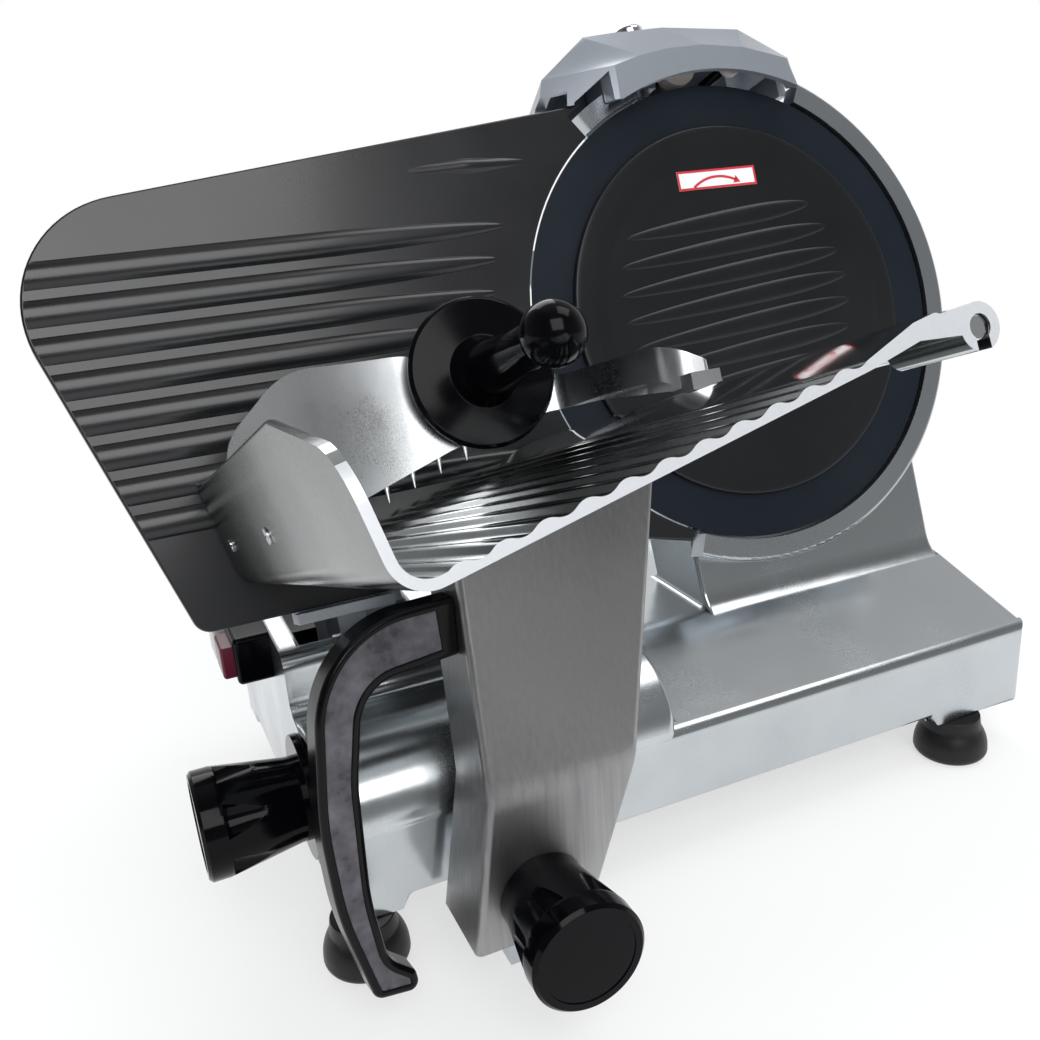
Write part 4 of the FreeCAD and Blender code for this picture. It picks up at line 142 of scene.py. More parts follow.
@dataclass(frozen=True)
class Finish:
    """A surface finish made of procedural nodes on Object coordinates."""

    name: str
    slot: str
    base: Colour
    second: Colour
    metallic: float = 0.0
    rough: tuple[float, float] = (0.4, 0.5)
    fine: float = 900.0
    grain: Grain = Grain.EVEN
    turn: float = 0.0
    bump: float = 0.1
    depth: float = 0.0002
    patch: float = 14.0
    wobble: float = 0.0
    coat: float = 0.0
    coat_rough: float = 0.1
    specular: float = 0.5
    details: tuple[float, float] = (4.0, 3.0)
    colour_share: float = 0.35
    colour_stops: tuple[float, float] = (0.45, 0.90)
    rough_share: float = 0.5
    rough_span: tuple[float, float] = (0.5, 1.0)
    wobble_depth: float = 0.01

    def material(self) -> bpy.types.Material:
        """Return the material, made once and then looked up by name."""
        made = bpy.data.materials.get("finish_" + self.name)
        if made is not None:
            return made
        made = bpy.data.materials.new("finish_" + self.name)
        made.use_nodes = True
        tree = made.node_tree
        shader = tree.nodes["Principled BSDF"]
        shader.inputs["Metallic"].default_value = self.metallic
        shader.inputs["Coat Weight"].default_value = self.coat
        shader.inputs["Coat Roughness"].default_value = self.coat_rough
        shader.inputs["Specular IOR Level"].default_value = self.specular
        coords = tree.nodes.new("ShaderNodeTexCoord")
        fine = self._noise(tree, coords, self.grain.value, self.fine, self.details[0])
        patch = self._noise(tree, coords, Grain.EVEN.value, self.patch, self.details[1])
        self._colour(tree, shader, patch, fine)
        self._roughness(tree, shader, patch, fine)
        self._relief(tree, shader, patch, fine)
        return made

    def _noise(self, tree: bpy.types.NodeTree, coords: bpy.types.Node, stretch: Sequence[float],
               scale: float, detail: float) -> bpy.types.Node:
        """Return a noise that reads turned and stretched Object coordinates.

        Args:
            tree: The material's tree.
            coords: Its coordinate node.
            stretch: The scale along each axis.
            scale: The noise's own scale.
            detail: How many octaves it has.

        Returns:
            The noise node.
        """
        mapping = tree.nodes.new("ShaderNodeMapping")
        mapping.inputs["Rotation"].default_value = (self.turn, 0.0, 0.0)
        mapping.inputs["Scale"].default_value = stretch
        noise = tree.nodes.new("ShaderNodeTexNoise")
        noise.inputs["Scale"].default_value = scale
        noise.inputs["Detail"].default_value = detail
        tree.links.new(coords.outputs["Object"], mapping.inputs["Vector"])
        tree.links.new(mapping.outputs["Vector"], noise.inputs["Vector"])
        return noise

    def _blend(self, tree: bpy.types.NodeTree, fine: bpy.types.Node, patch: bpy.types.Node,
               share: float) -> bpy.types.NodeSocket:
        """Add a share of the fine marks to the patches.

        Args:
            tree: The material's tree.
            fine: The noise of the fine marks.
            patch: The noise of the patches.
            share: How much of the fine marks is added.

        Returns:
            The socket with the sum.
        """
        blend = tree.nodes.new("ShaderNodeMath")
        blend.operation = "MULTIPLY_ADD"
        blend.inputs[1].default_value = share
        tree.links.new(fine.outputs["Fac"], blend.inputs[0])
        tree.links.new(patch.outputs["Fac"], blend.inputs[2])
        return blend.outputs["Value"]

    def _colour(self, tree: bpy.types.NodeTree, shader: bpy.types.Node, patch: bpy.types.Node,
                fine: bpy.types.Node) -> None:
        """Mix the two colours by the patches and the fine marks.

        Args:
            tree: The material's tree.
            shader: Its shader.
            patch: The noise of the patches.
            fine: The noise of the fine marks.
        """
        ramp = tree.nodes.new("ShaderNodeValToRGB")
        colours = (self.base, self.second)
        for element, stop, colour in zip(ramp.color_ramp.elements, self.colour_stops, colours):
            element.position = stop
            element.color = (*colour, 1.0)
        tree.links.new(self._blend(tree, fine, patch, self.colour_share), ramp.inputs["Fac"])
        tree.links.new(ramp.outputs["Color"], shader.inputs["Base Color"])

    def _roughness(self, tree: bpy.types.NodeTree, shader: bpy.types.Node, patch: bpy.types.Node,
                   fine: bpy.types.Node) -> None:
        """Let the roughness wander between its two values.

        Args:
            tree: The material's tree.
            shader: Its shader.
            patch: The noise of the patches.
            fine: The noise of the fine marks.
        """
        spread = tree.nodes.new("ShaderNodeMapRange")
        spread.inputs["From Min"].default_value = self.rough_span[0]
        spread.inputs["From Max"].default_value = self.rough_span[1]
        spread.inputs["To Min"].default_value = self.rough[0]
        spread.inputs["To Max"].default_value = self.rough[1]
        tree.links.new(self._blend(tree, fine, patch, self.rough_share), spread.inputs["Value"])
        tree.links.new(spread.outputs["Result"], shader.inputs["Roughness"])

    def _relief(self, tree: bpy.types.NodeTree, shader: bpy.types.Node, patch: bpy.types.Node,
                fine: bpy.types.Node) -> None:
        """Raise the fine marks, and under them a slow wobble where the finish has one.

        Args:
            tree: The material's tree.
            shader: Its shader.
            patch: The noise of the patches, which gives the wobble.
            fine: The noise of the fine marks.
        """
        bump = tree.nodes.new("ShaderNodeBump")
        bump.inputs["Strength"].default_value = self.bump
        bump.inputs["Distance"].default_value = self.depth
        tree.links.new(fine.outputs["Fac"], bump.inputs["Height"])
        if self.wobble > 0.0:
            slow = tree.nodes.new("ShaderNodeBump")
            slow.inputs["Strength"].default_value = self.wobble
            slow.inputs["Distance"].default_value = self.wobble_depth
            tree.links.new(patch.outputs["Fac"], slow.inputs["Height"])
            tree.links.new(slow.outputs["Normal"], bump.inputs["Normal"])
        tree.links.new(bump.outputs["Normal"], shader.inputs["Normal"])


POLISHED_CASTING = Finish(
    "polished_casting", "casting", (0.60, 0.63, 0.65), (0.50, 0.53, 0.55), metallic=1.0,
    rough=(0.16, 0.30), fine=1400.0, bump=0.02, patch=17.0, wobble=0.05)
SILVER_PAINT = Finish(
    "silver_paint", "satin_aluminium", (0.34, 0.37, 0.41), (0.28, 0.31, 0.35), metallic=0.60,
    rough=(0.34, 0.44), fine=1600.0, bump=0.08, depth=0.0001, patch=16.0, coat=0.25,
    coat_rough=0.2)
RING_METAL = Finish(
    "ring_metal", "satin_aluminium", (0.52, 0.55, 0.58), (0.42, 0.45, 0.48), metallic=1.0,
    rough=(0.24, 0.38), fine=1600.0, bump=0.06, depth=0.0001, patch=12.0, wobble=0.02)
SATIN_CASTING = Finish(
    "satin_casting", "satin_aluminium", (0.56, 0.60, 0.64), (0.50, 0.54, 0.58), metallic=1.0,
    rough=(0.30, 0.42), fine=1400.0, bump=0.08, patch=20.0, wobble=0.02)
BRUSHED_ARM = Finish(
    "brushed_arm", "satin_aluminium", (0.44, 0.44, 0.44), (0.24, 0.24, 0.245), metallic=1.0,
    rough=(0.28, 0.44), fine=520.0, grain=Grain.UPRIGHT, bump=0.25, patch=10.0)
MIRROR_TRAY = Finish(
    "mirror_tray", "satin_aluminium", (0.66, 0.69, 0.70), (0.54, 0.57, 0.58), metallic=1.0,
    rough=(0.04, 0.10), fine=700.0, bump=0.02, patch=12.0, wobble=0.03)
TRAY_EDGE = Finish(
    "tray_edge", "satin_aluminium", (0.70, 0.72, 0.74), (0.62, 0.64, 0.66), metallic=0.35,
    rough=(0.30, 0.42), fine=900.0, bump=0.03)
# Painted shade: a dark base colour on the tray's outer wall that stands in for the dark reflections
# there; the wall is really the same polished metal as the inside.
TRAY_OUTSIDE_PAINTED_SHADE = Finish(
    "tray_outside_painted_shade", "satin_aluminium", (0.10, 0.112, 0.112), (0.070, 0.078, 0.078), metallic=1.0,
    rough=(0.16, 0.26), fine=900.0, bump=0.03, patch=10.0, wobble=0.02)
PUSHER_STEEL = Finish(
    "pusher_steel", "chrome", (0.70, 0.72, 0.73), (0.56, 0.58, 0.60), metallic=1.0,
    rough=(0.22, 0.36), fine=900.0, bump=0.0, patch=26.0, wobble=0.02)
POLISHED_STEEL = Finish(
    "polished_steel", "chrome", (0.80, 0.82, 0.83), (0.72, 0.74, 0.76), metallic=1.0,
    rough=(0.12, 0.26), fine=500.0, bump=0.02, patch=16.0, wobble=0.04)
BRIGHT_STEEL = Finish(
    "bright_steel", "bright_steel", (0.70, 0.72, 0.74), (0.60, 0.62, 0.64), metallic=1.0,
    rough=(0.16, 0.30), fine=1200.0, bump=0.05)
PLATE_COATING = Finish(
    "plate_coating", "dark_coating", (0.0060, 0.0064, 0.0078), (0.0105, 0.0112, 0.0135),
    rough=(0.26, 0.36), fine=2400.0, bump=0.10, depth=0.0001, patch=14.0, coat=0.35,
    coat_rough=0.16, specular=0.40)
COVER_COATING = Finish(
    "cover_coating", "dark_coating", (0.0060, 0.0070, 0.0078), (0.0090, 0.0102, 0.0112),
    rough=(0.28, 0.38), fine=2400.0, bump=0.08, depth=0.0001, patch=12.0, coat=0.12,
    coat_rough=0.2, specular=0.28)
BLADE_COATING = Finish(
    "blade_coating", "dark_coating", (0.0060, 0.0095, 0.0155), (0.0085, 0.0130, 0.0200),
    rough=(0.32, 0.42), fine=2400.0, bump=0.08, depth=0.0001, patch=12.0, specular=0.22)
GLOSS_BLACK = Finish(
    "gloss_black", "black_plastic", (0.0010, 0.0011, 0.0018), (0.0026, 0.0027, 0.0038),
    rough=(0.08, 0.16), fine=900.0, bump=0.03, depth=0.0001, specular=0.12)
GRIP_BLACK = Finish(
    "grip_black", "black_grip", (0.0012, 0.0012, 0.0020), (0.0030, 0.0031, 0.0042),
    rough=(0.18, 0.30), fine=1500.0, bump=0.06, depth=0.0001, specular=0.2)
GREY_INLAY = Finish(
    "grey_inlay", "grey_inlay", (0.030, 0.030, 0.036), (0.150, 0.147, 0.165), metallic=0.3,
    rough=(0.22, 0.42), fine=300.0, bump=0.35, patch=60.0, specular=0.3)
RUBBER = Finish(
    "black_rubber", "black_rubber", (0.004, 0.004, 0.005), (0.009, 0.009, 0.010),
    rough=(0.34, 0.50), fine=1600.0, bump=0.10, specular=0.35)
MAROON = Finish(
    "maroon_button", "maroon_plastic", (0.085, 0.008, 0.022), (0.12, 0.012, 0.030),
    rough=(0.25, 0.36), fine=900.0, bump=0.05, coat=0.1, specular=0.3)
PALE_PLASTIC = Finish(
    "pale_plastic", "pale_plastic", (0.62, 0.62, 0.60), (0.70, 0.70, 0.68), rough=(0.35, 0.5),
    fine=900.0, bump=0.06)
BRASS = Finish(
    "bush_brass", "brass", (0.60, 0.44, 0.18), (0.70, 0.54, 0.26), metallic=1.0,
    rough=(0.22, 0.38), fine=1200.0, bump=0.06)
MOTOR_CAST = Finish(
    "motor_cast", "casting", (0.30, 0.31, 0.32), (0.38, 0.39, 0.40), metallic=0.9,
    rough=(0.45, 0.6), fine=900.0, bump=0.3)
ABRASIVE = Finish(
    "abrasive_stone", "stone", (0.42, 0.38, 0.34), (0.54, 0.50, 0.46), rough=(0.8, 0.95),
    fine=2600.0, bump=0.7, depth=0.0005)
MARK_WHITE = Finish(
    "mark_white", "pale_plastic", (0.80, 0.80, 0.80), (0.74, 0.74, 0.74), rough=(0.35, 0.45),
    fine=1500.0, bump=0.03)
MARK_RED = Finish(
    "mark_red", "maroon_plastic", (0.62, 0.030, 0.045), (0.50, 0.022, 0.035), rough=(0.35, 0.45),
    fine=1500.0, bump=0.03)


@dataclass(frozen=True)
class Rounding:
    """How the sharp edges of a carried-over solid are rounded."""

    width: float = 0.0005
    segments: int = 3
    sharp: float = 28.0
    flat: float = 0.05
    least: float = 0.0
    clamp: bool = True


FINE = Rounding(width=0.0002, segments=2)
SOFT = Rounding(width=0.0012)
BROAD = Rounding(width=0.0022, segments=4)
CAST = Rounding(width=0.0026, segments=4, least=0.0022, clamp=False)


@dataclass
class Workshop:
    """Makes pieces from bmeshes and from the carried-over solids."""

    frame: dict
    merge: float = 1e-6
    smooth_angle: float = 35.0

    def body(self, node: str) -> str:
        """Return the body that a carried-over node moves with."""
        return self.frame["nodes"][node]["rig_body"]

    def piece(self, shape: bmesh.types.BMesh, name: str, body: str, finish: Finish,
              nodes: Iterable[str] = ()) -> bpy.types.Object:
        """Turn a bmesh into a dressed piece.

        Args:
            shape: The mesh, in place in the frame; it is freed.
            name: The piece's name.
            body: The body it moves with.
            finish: Its finish.
            nodes: The carried-over nodes that it stands for.

        Returns:
            The object.
        """
        limit = math.radians(self.smooth_angle)
        for face in shape.faces:
            face.smooth = True
        for edge in shape.edges:
            edge.smooth = edge.calc_face_angle(0.0) < limit
        mesh = bpy.data.meshes.new(name)
        shape.to_mesh(mesh)
        shape.free()
        mesh.materials.append(finish.material())
        made = bpy.data.objects.new(name, mesh)
        bpy.context.scene.collection.objects.link(made)
        weigh = made.modifiers.new("even_shading", "WEIGHTED_NORMAL")
        weigh.keep_sharp = True
        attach(made, body)
        if nodes:
            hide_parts(*nodes)
        log.info("%s: %d faces on %s in %s", name, len(mesh.polygons), body, finish.name)
        return made

    def soften(self, node: str, finish: Finish,
               rounding: Rounding = Rounding()) -> bpy.types.Object:
        """Stand a merged copy with rounded edges in a solid's place.

        Args:
            node: The carried-over node.
            finish: Its finish.
            rounding: How its edges are rounded.

        Returns:
            The piece.
        """
        shape = bmesh.new()
        shape.from_mesh(self.frame["nodes"][node].data)
        bmesh.ops.remove_doubles(shape, verts=shape.verts[:], dist=self.merge)
        bmesh.ops.dissolve_limit(shape, angle_limit=math.radians(rounding.flat),
                                 verts=shape.verts[:], edges=shape.edges[:],
                                 use_dissolve_boundaries=False)
        sharp = math.radians(rounding.sharp)
        edges = [edge for edge in shape.edges
                 if edge.is_manifold and edge.calc_face_angle(0.0) > sharp
                 and edge.calc_length() >= rounding.least]
        bmesh.ops.bevel(shape, geom=edges, offset=rounding.width, offset_type="OFFSET",
                        affect="EDGES", segments=rounding.segments, profile=0.5,
                        clamp_overlap=rounding.clamp, loop_slide=True, material=-1)
        return self.piece(shape, node + "_skin", self.body(node), finish, (node,))

    def dress(self, finish: Finish, *nodes: str) -> None:
        """Give carried-over nodes that stay shown their finish.

        Args:
            finish: The finish.
            nodes: The nodes.
        """
        for name in nodes:
            for place in self.frame["nodes"][name].material_slots:
                place.material = finish.material()


@dataclass
class CoilSpring:
    """A wound spring made by spinning its wire's section."""

    node: str
    radius: float
    wire: float
    length: float
    turns: int
    place: Matrix
    steps: int = 20
    corners: int = 8

    def build(self, shop: Workshop) -> None:
        """Wind the spring along +Z of its place and stand it in for the plain tube.

        Args:
            shop: Makes the piece.
        """
        shape = bmesh.new()
        section = bmesh.ops.create_circle(shape, cap_ends=False, segments=self.corners,
                                          radius=self.wire)
        stand = (Matrix.Translation((self.radius, 0.0, self.wire))
                 @ Matrix.Rotation(math.pi / 2.0, 4, "X"))
        bmesh.ops.transform(shape, matrix=stand, verts=section["verts"])
        start = list(shape.edges)
        bmesh.ops.contextual_create(shape, geom=start)
        rise = (self.length - 2.0 * self.wire) / (self.turns * self.steps)
        wound = bmesh.ops.spin(shape, geom=section["verts"] + start, axis=Z_AXIS, cent=ORIGIN,
                               dvec=(0.0, 0.0, rise), angle=FULL_TURN * self.turns,
                               steps=self.turns * self.steps, use_merge=False,
                               use_duplicate=False)
        end = [item for item in wound["geom_last"] if isinstance(item, bmesh.types.BMEdge)]
        bmesh.ops.contextual_create(shape, geom=end)
        bmesh.ops.transform(shape, matrix=self.place, verts=shape.verts[:])
        bmesh.ops.recalc_face_normals(shape, faces=shape.faces[:])
        shop.piece(shape, self.node + "_coil", shop.body(self.node), BRIGHT_STEEL, (self.node,))


@dataclass(frozen=True)
class Ridge:
    """A long low ridge in blade coordinates, with a point on its right and, if asked, its left."""

    height: float = 0.0024
    half: float = 0.0062
    taper: float = 0.42
    start_taper: float = 0.0
    sink: float = 0.0004
    along: int = 44
    across: int = 14
    point: float = 1.6
    fall: float = 0.8
    flank: float = 2.2
    crown: float = 0.75

    def add(self, shape: bmesh.types.BMesh, u: float, right: float,
            left: Callable[[float], float]) -> None:
        """Add the ridge to a mesh in blade coordinates.

        Args:
            shape: The mesh.
            u: The height of the ridge's middle line.
            right: The x of its point.
            left: Gives the x of its left end at a height.
        """
        grid = bmesh.ops.create_grid(shape, x_segments=self.along, y_segments=self.across,
                                     size=0.5)
        for vert in grid["verts"]:
            share = vert.co.x + 0.5
            side = vert.co.y * 2.0
            near_tip = max(0.0, (share - 1.0 + self.taper) / self.taper)
            if self.start_taper > 0.0:
                near_tip = max(near_tip, 1.0 - share / self.start_taper)
            full = math.sqrt(max(0.0, 1.0 - near_tip ** self.point))
            y = u + side * self.half * full
            start = left(y)
            round_top = max(0.0, 1.0 - abs(side) ** self.flank) ** self.crown
            lift = self.height * full ** self.fall * round_top
            vert.co = Vector((start + (right - start) * share, y, lift))
        faces = list({face for vert in grid["verts"] for face in vert.link_faces})
        lower = bmesh.ops.extrude_face_region(shape, geom=faces)
        for item in lower["geom"]:
            if isinstance(item, bmesh.types.BMVert):
                item.co.z = -self.sink
        bmesh.ops.remove_doubles(shape, verts=shape.verts[:], dist=WELD)


@dataclass
class BladeUnit:
    """The blade with its cover, ring guard, hub and spindle, and the plain arrow on the cover."""

    shop: Workshop
    cover_ribs: int = 7
    cover_pitch: float = 0.0145
    cover_top: float = 0.0500
    cover_turn: float = 4.0
    cover_steps: int = 128
    rib_circle: float = 0.073
    rib_circle_up: float = 0.008
    rib: Ridge = Ridge(height=0.0011, half=0.0052, taper=0.30, start_taper=0.62, sink=0.0002)
    dish_level: float = 0.0022
    cover_section: tuple[tuple[float, float], ...] = (
        (0.0, -0.0090), (0.0110, -0.0090), (0.0110, 0.0008), (0.1014, 0.0008),
        (0.1020, 0.0013), (0.1020, 0.0024), (0.1016, 0.0030), (0.1008, 0.0034),
        (0.0985, 0.0034), (0.0925, 0.0034), (0.0900, 0.0032), (0.0872, 0.0027),
        (0.0850, 0.0024), (0.0825, 0.0022), (0.0, 0.0022))
    arrow_place: tuple[float, float, float] = (-0.001, 0.073, 0.0022)
    arrow_size: tuple[float, float] = (0.0500, 0.0105)
    arrow_border: float = 0.0012
    arrow_share: float = 0.62
    arrow_bow: float = 0.85
    arrow_half: float = 0.0007
    arrow_head: float = 0.0027
    arrow_steps: int = 14
    shaft_share: float = 0.88
    head_share: float = 0.76
    arrow_rise: float = 0.0010
    plate_thick: float = 0.00025
    mark_thick: float = 0.00006

    def build(self) -> None:
        """Build every piece of the unit."""
        self.shop.soften("blade", BLADE_COATING, FINE)
        self.cover()
        self.shop.soften("blade_guard_ring", RING_METAL, SOFT)
        for name in ("blade_screws", "blade_pulley", "blade_spindle", "blade_bearings",
                     "cover_tie_rod"):
            self.shop.soften(name, BRIGHT_STEEL, FINE)
        self.shop.soften("cover_tie_knob", GLOSS_BLACK)
        self.arrow_plate()

    def cover(self) -> None:
        """Turn the cover from its section, with a soft dish, and lay long low ribs on it."""
        shape = bmesh.new()
        points = [shape.verts.new((radius, 0.0, n)) for radius, n in self.cover_section]
        edges = [shape.edges.new(pair) for pair in zip(points, points[1:])]
        bmesh.ops.spin(shape, geom=points + edges, cent=ORIGIN, axis=Z_AXIS, angle=FULL_TURN,
                       steps=self.cover_steps, use_merge=True)
        bmesh.ops.remove_doubles(shape, verts=shape.verts[:], dist=WELD)
        bmesh.ops.transform(shape, matrix=blade_matrix(), verts=shape.verts[:])
        bmesh.ops.recalc_face_normals(shape, faces=shape.faces[:])
        self.shop.piece(shape, "cover_dish", self.shop.body("blade_cover"), COVER_COATING,
                        ("blade_cover",))
        ribs = bmesh.new()
        for index in range(self.cover_ribs):
            u = self.cover_top - self.cover_pitch * index
            reach = math.sqrt(self.rib_circle ** 2 - (u - self.rib_circle_up) ** 2)
            self.rib.add(ribs, u, reach, lambda y, reach=reach: -reach)
        turn = blade_matrix() @ Matrix.Rotation(math.radians(self.cover_turn), 4, "Z")
        lift = Matrix.Translation((0.0, 0.0, self.dish_level))
        bmesh.ops.transform(ribs, matrix=turn @ lift, verts=ribs.verts[:])
        bmesh.ops.recalc_face_normals(ribs, faces=ribs.faces[:])
        self.shop.piece(ribs, "cover_ribs", self.shop.body("blade_cover"), COVER_COATING)

    def arrow_plate(self) -> None:
        """Set a thin plate on the cover, with a red edge and a plain arrow for the blade's turn."""
        wide, high = self.arrow_size
        place = blade_matrix() @ Matrix.Translation(self.arrow_place)
        body = self.shop.body("blade_cover")
        plate = self._slab(wide, high, self.plate_thick)
        bmesh.ops.transform(plate, matrix=place, verts=plate.verts[:])
        self.shop.piece(plate, "arrow_plate", body, MARK_WHITE)
        edge = bmesh.new()
        bmesh.ops.create_grid(edge, x_segments=1, y_segments=1, size=0.5,
                              matrix=Matrix.Diagonal((wide, high, 1.0, 1.0)))
        bmesh.ops.inset_region(edge, faces=edge.faces[:], thickness=self.arrow_border,
                               use_boundary=True, use_even_offset=True)
        middle = [face for face in edge.faces if face.calc_center_median().length < 1e-6]
        bmesh.ops.delete(edge, geom=middle, context="FACES")
        self._raise(edge)
        top = place @ Matrix.Translation((0.0, 0.0, self.plate_thick))
        bmesh.ops.transform(edge, matrix=top, verts=edge.verts[:])
        self.shop.piece(edge, "arrow_edge", body, MARK_RED)
        mark = self._arrow(wide * self.arrow_share)
        bmesh.ops.transform(mark, matrix=top, verts=mark.verts[:])
        self.shop.piece(mark, "arrow_mark", body, MARK_RED)

    def _slab(self, wide: float, high: float, thick: float) -> bmesh.types.BMesh:
        """Return a thin box on the plane z = 0.

        Args:
            wide: Its size along x.
            high: Its size along y.
            thick: Its size along z.

        Returns:
            The box.
        """
        slab = bmesh.new()
        bmesh.ops.create_cube(slab, size=1.0, matrix=Matrix.Translation((0.0, 0.0, thick / 2.0))
                              @ Matrix.Diagonal((wide, high, thick, 1.0)))
        return slab

    def _raise(self, shape: bmesh.types.BMesh) -> None:
        """Give flat marks their thickness upwards.

        Args:
            shape: The mesh with the marks.
        """
        raised = bmesh.ops.extrude_face_region(shape, geom=shape.faces[:])
        moved = [item for item in raised["geom"] if isinstance(item, bmesh.types.BMVert)]
        bmesh.ops.translate(shape, verts=moved, vec=(0.0, 0.0, self.mark_thick))
        bmesh.ops.recalc_face_normals(shape, faces=shape.faces[:])

    def _arrow(self, length: float) -> bmesh.types.BMesh:
        """Return a slim bowed arrow that points right.

        Args:
            length: The arrow's length.

        Returns:
            The raised arrow on the plane z = 0.
        """
        arrow = bmesh.new()
        radius = length * self.arrow_bow
        low = arrow.verts.new((0.0, radius - self.arrow_half, 0.0))
        high = arrow.verts.new((0.0, radius + self.arrow_half, 0.0))
        edge = arrow.edges.new((low, high))
        half = math.asin(0.5 / self.arrow_bow)
        bmesh.ops.rotate(arrow, verts=[low, high], cent=ORIGIN,
                         matrix=Matrix.Rotation(half, 3, "Z"))
        bmesh.ops.spin(arrow, geom=[low, high, edge], cent=ORIGIN, axis=Z_AXIS,
                       angle=-2.0 * half * self.shaft_share, steps=self.arrow_steps)
        tip = (Matrix.Rotation(-half * self.head_share, 4, "Z")
               @ Matrix.Translation((0.0, radius, 0.0)) @ Matrix.Rotation(-math.pi / 2.0, 4, "Z"))
        head = bmesh.ops.create_circle(arrow, cap_ends=True, cap_tris=False, segments=3,
                                       radius=self.arrow_head, matrix=tip)
        drop = Matrix.Translation((0.0, -radius + self.arrow_rise, 0.0))
        bmesh.ops.transform(arrow, matrix=drop, verts=arrow.verts[:])
        self._raise(arrow)
        log.info("arrow with a head of %d corners", len(head["verts"]))
        return arrow


@dataclass
class SharpenerUnit:
    """The sharpener over the blade: housing, clamp, stones, buttons and springs."""

    shop: Workshop
    stones: tuple[tuple[str, float, float], ...] = (
        ("grinding", -0.008, 0.1385), ("deburring", 0.020, 0.134))
    spring_depth: float = -0.0495
    spring_radius: float = 0.0042
    spring_wire: float = 0.0006
    spring_length: float = 0.0035
    spring_turns: int = 2

    def build(self) -> None:
        """Build every piece of the unit."""
        self.shop.soften("sharpener_housing", SILVER_PAINT, BROAD)
        self.shop.soften("sharpener_clamp_screw", POLISHED_STEEL, FINE)
        self.shop.soften("sharpener_post", BRIGHT_STEEL, FINE)
        for name, x, u in self.stones:
            self.shop.soften(name + "_stone", ABRASIVE, FINE)
            self.shop.soften(name + "_button", GLOSS_BLACK, FINE)
            place = blade_matrix() @ Matrix.Translation((x, u, self.spring_depth))
            CoilSpring(name + "_spring", self.spring_radius, self.spring_wire,
                       self.spring_length, self.spring_turns, place).build(self.shop)


@dataclass
class GaugeUnit:
    """The ribbed gauge plate with its slider, and the thickness control."""

    shop: Workshop
    rib_count: int = 8
    rib_pitch: float = 0.0166
    rib_top: float = 0.0605
    rib_reach: float = 0.1425
    rib_inset: float = 0.0014
    front_from: float = -0.0014
    left_of: float = -0.2
    far_left: float = -0.3

    def ribs(self) -> None:
        """Lay full ridges over the plate's ribs, from its slanted edge to the blade."""
        outline = self.front_edges()
        shape = bmesh.new()
        for index in range(self.rib_count):
            u = self.rib_top - self.rib_pitch * index
            Ridge().add(shape, u, -math.sqrt(self.rib_reach ** 2 - u ** 2),
                        lambda y: self.left_at(outline, y) + self.rib_inset)
        bmesh.ops.transform(shape, matrix=blade_matrix(), verts=shape.verts[:])
        bmesh.ops.recalc_face_normals(shape, faces=shape.faces[:])
        self.shop.piece(shape, "gauge_ribs", self.shop.body("gauge_plate"), PLATE_COATING)

    def front_edges(self) -> list[tuple[Vector, Vector]]:
        """Return the edges of the plate's front in blade coordinates."""
        turn = blade_matrix().inverted()
        data = self.shop.frame["nodes"]["gauge_plate"].data
        points = [turn @ vert.co for vert in data.vertices]
        pairs = [(points[edge.vertices[0]], points[edge.vertices[1]]) for edge in data.edges]
        return [(a, b) for a, b in pairs
                if min(a.z, b.z) > self.front_from and min(a.x, b.x) < self.left_of]

    def left_at(self, edges: Sequence[tuple[Vector, Vector]], u: float) -> float:
        """Return the x of the plate's left edge at a height.

        Args:
            edges: The edges of its front.
            u: The height.

        Returns:
            The least x at which an edge crosses the height.
        """
        found = [a.x + (b.x - a.x) * (u - a.y) / (b.y - a.y) for a, b in edges
                 if (a.y - u) * (b.y - u) < 0.0]
        return min(found) if found else self.far_left

    def build(self) -> None:
        """Build every piece of the unit."""
        self.shop.soften("gauge_plate", PLATE_COATING, Rounding(width=0.0006))
        self.ribs()
        self.shop.soften("gauge_slider", SATIN_CASTING)
        self.shop.soften("gauge_fasteners", BRIGHT_STEEL, FINE)
        self.shop.dress(BRIGHT_STEEL, "gauge_slide_shaft")
        self.shop.soften("thickness_cam", BRIGHT_STEEL, FINE)
        self.shop.soften("thickness_dial", GLOSS_BLACK)
        self.shop.soften("thickness_knob", GLOSS_BLACK, Rounding(width=0.0007))


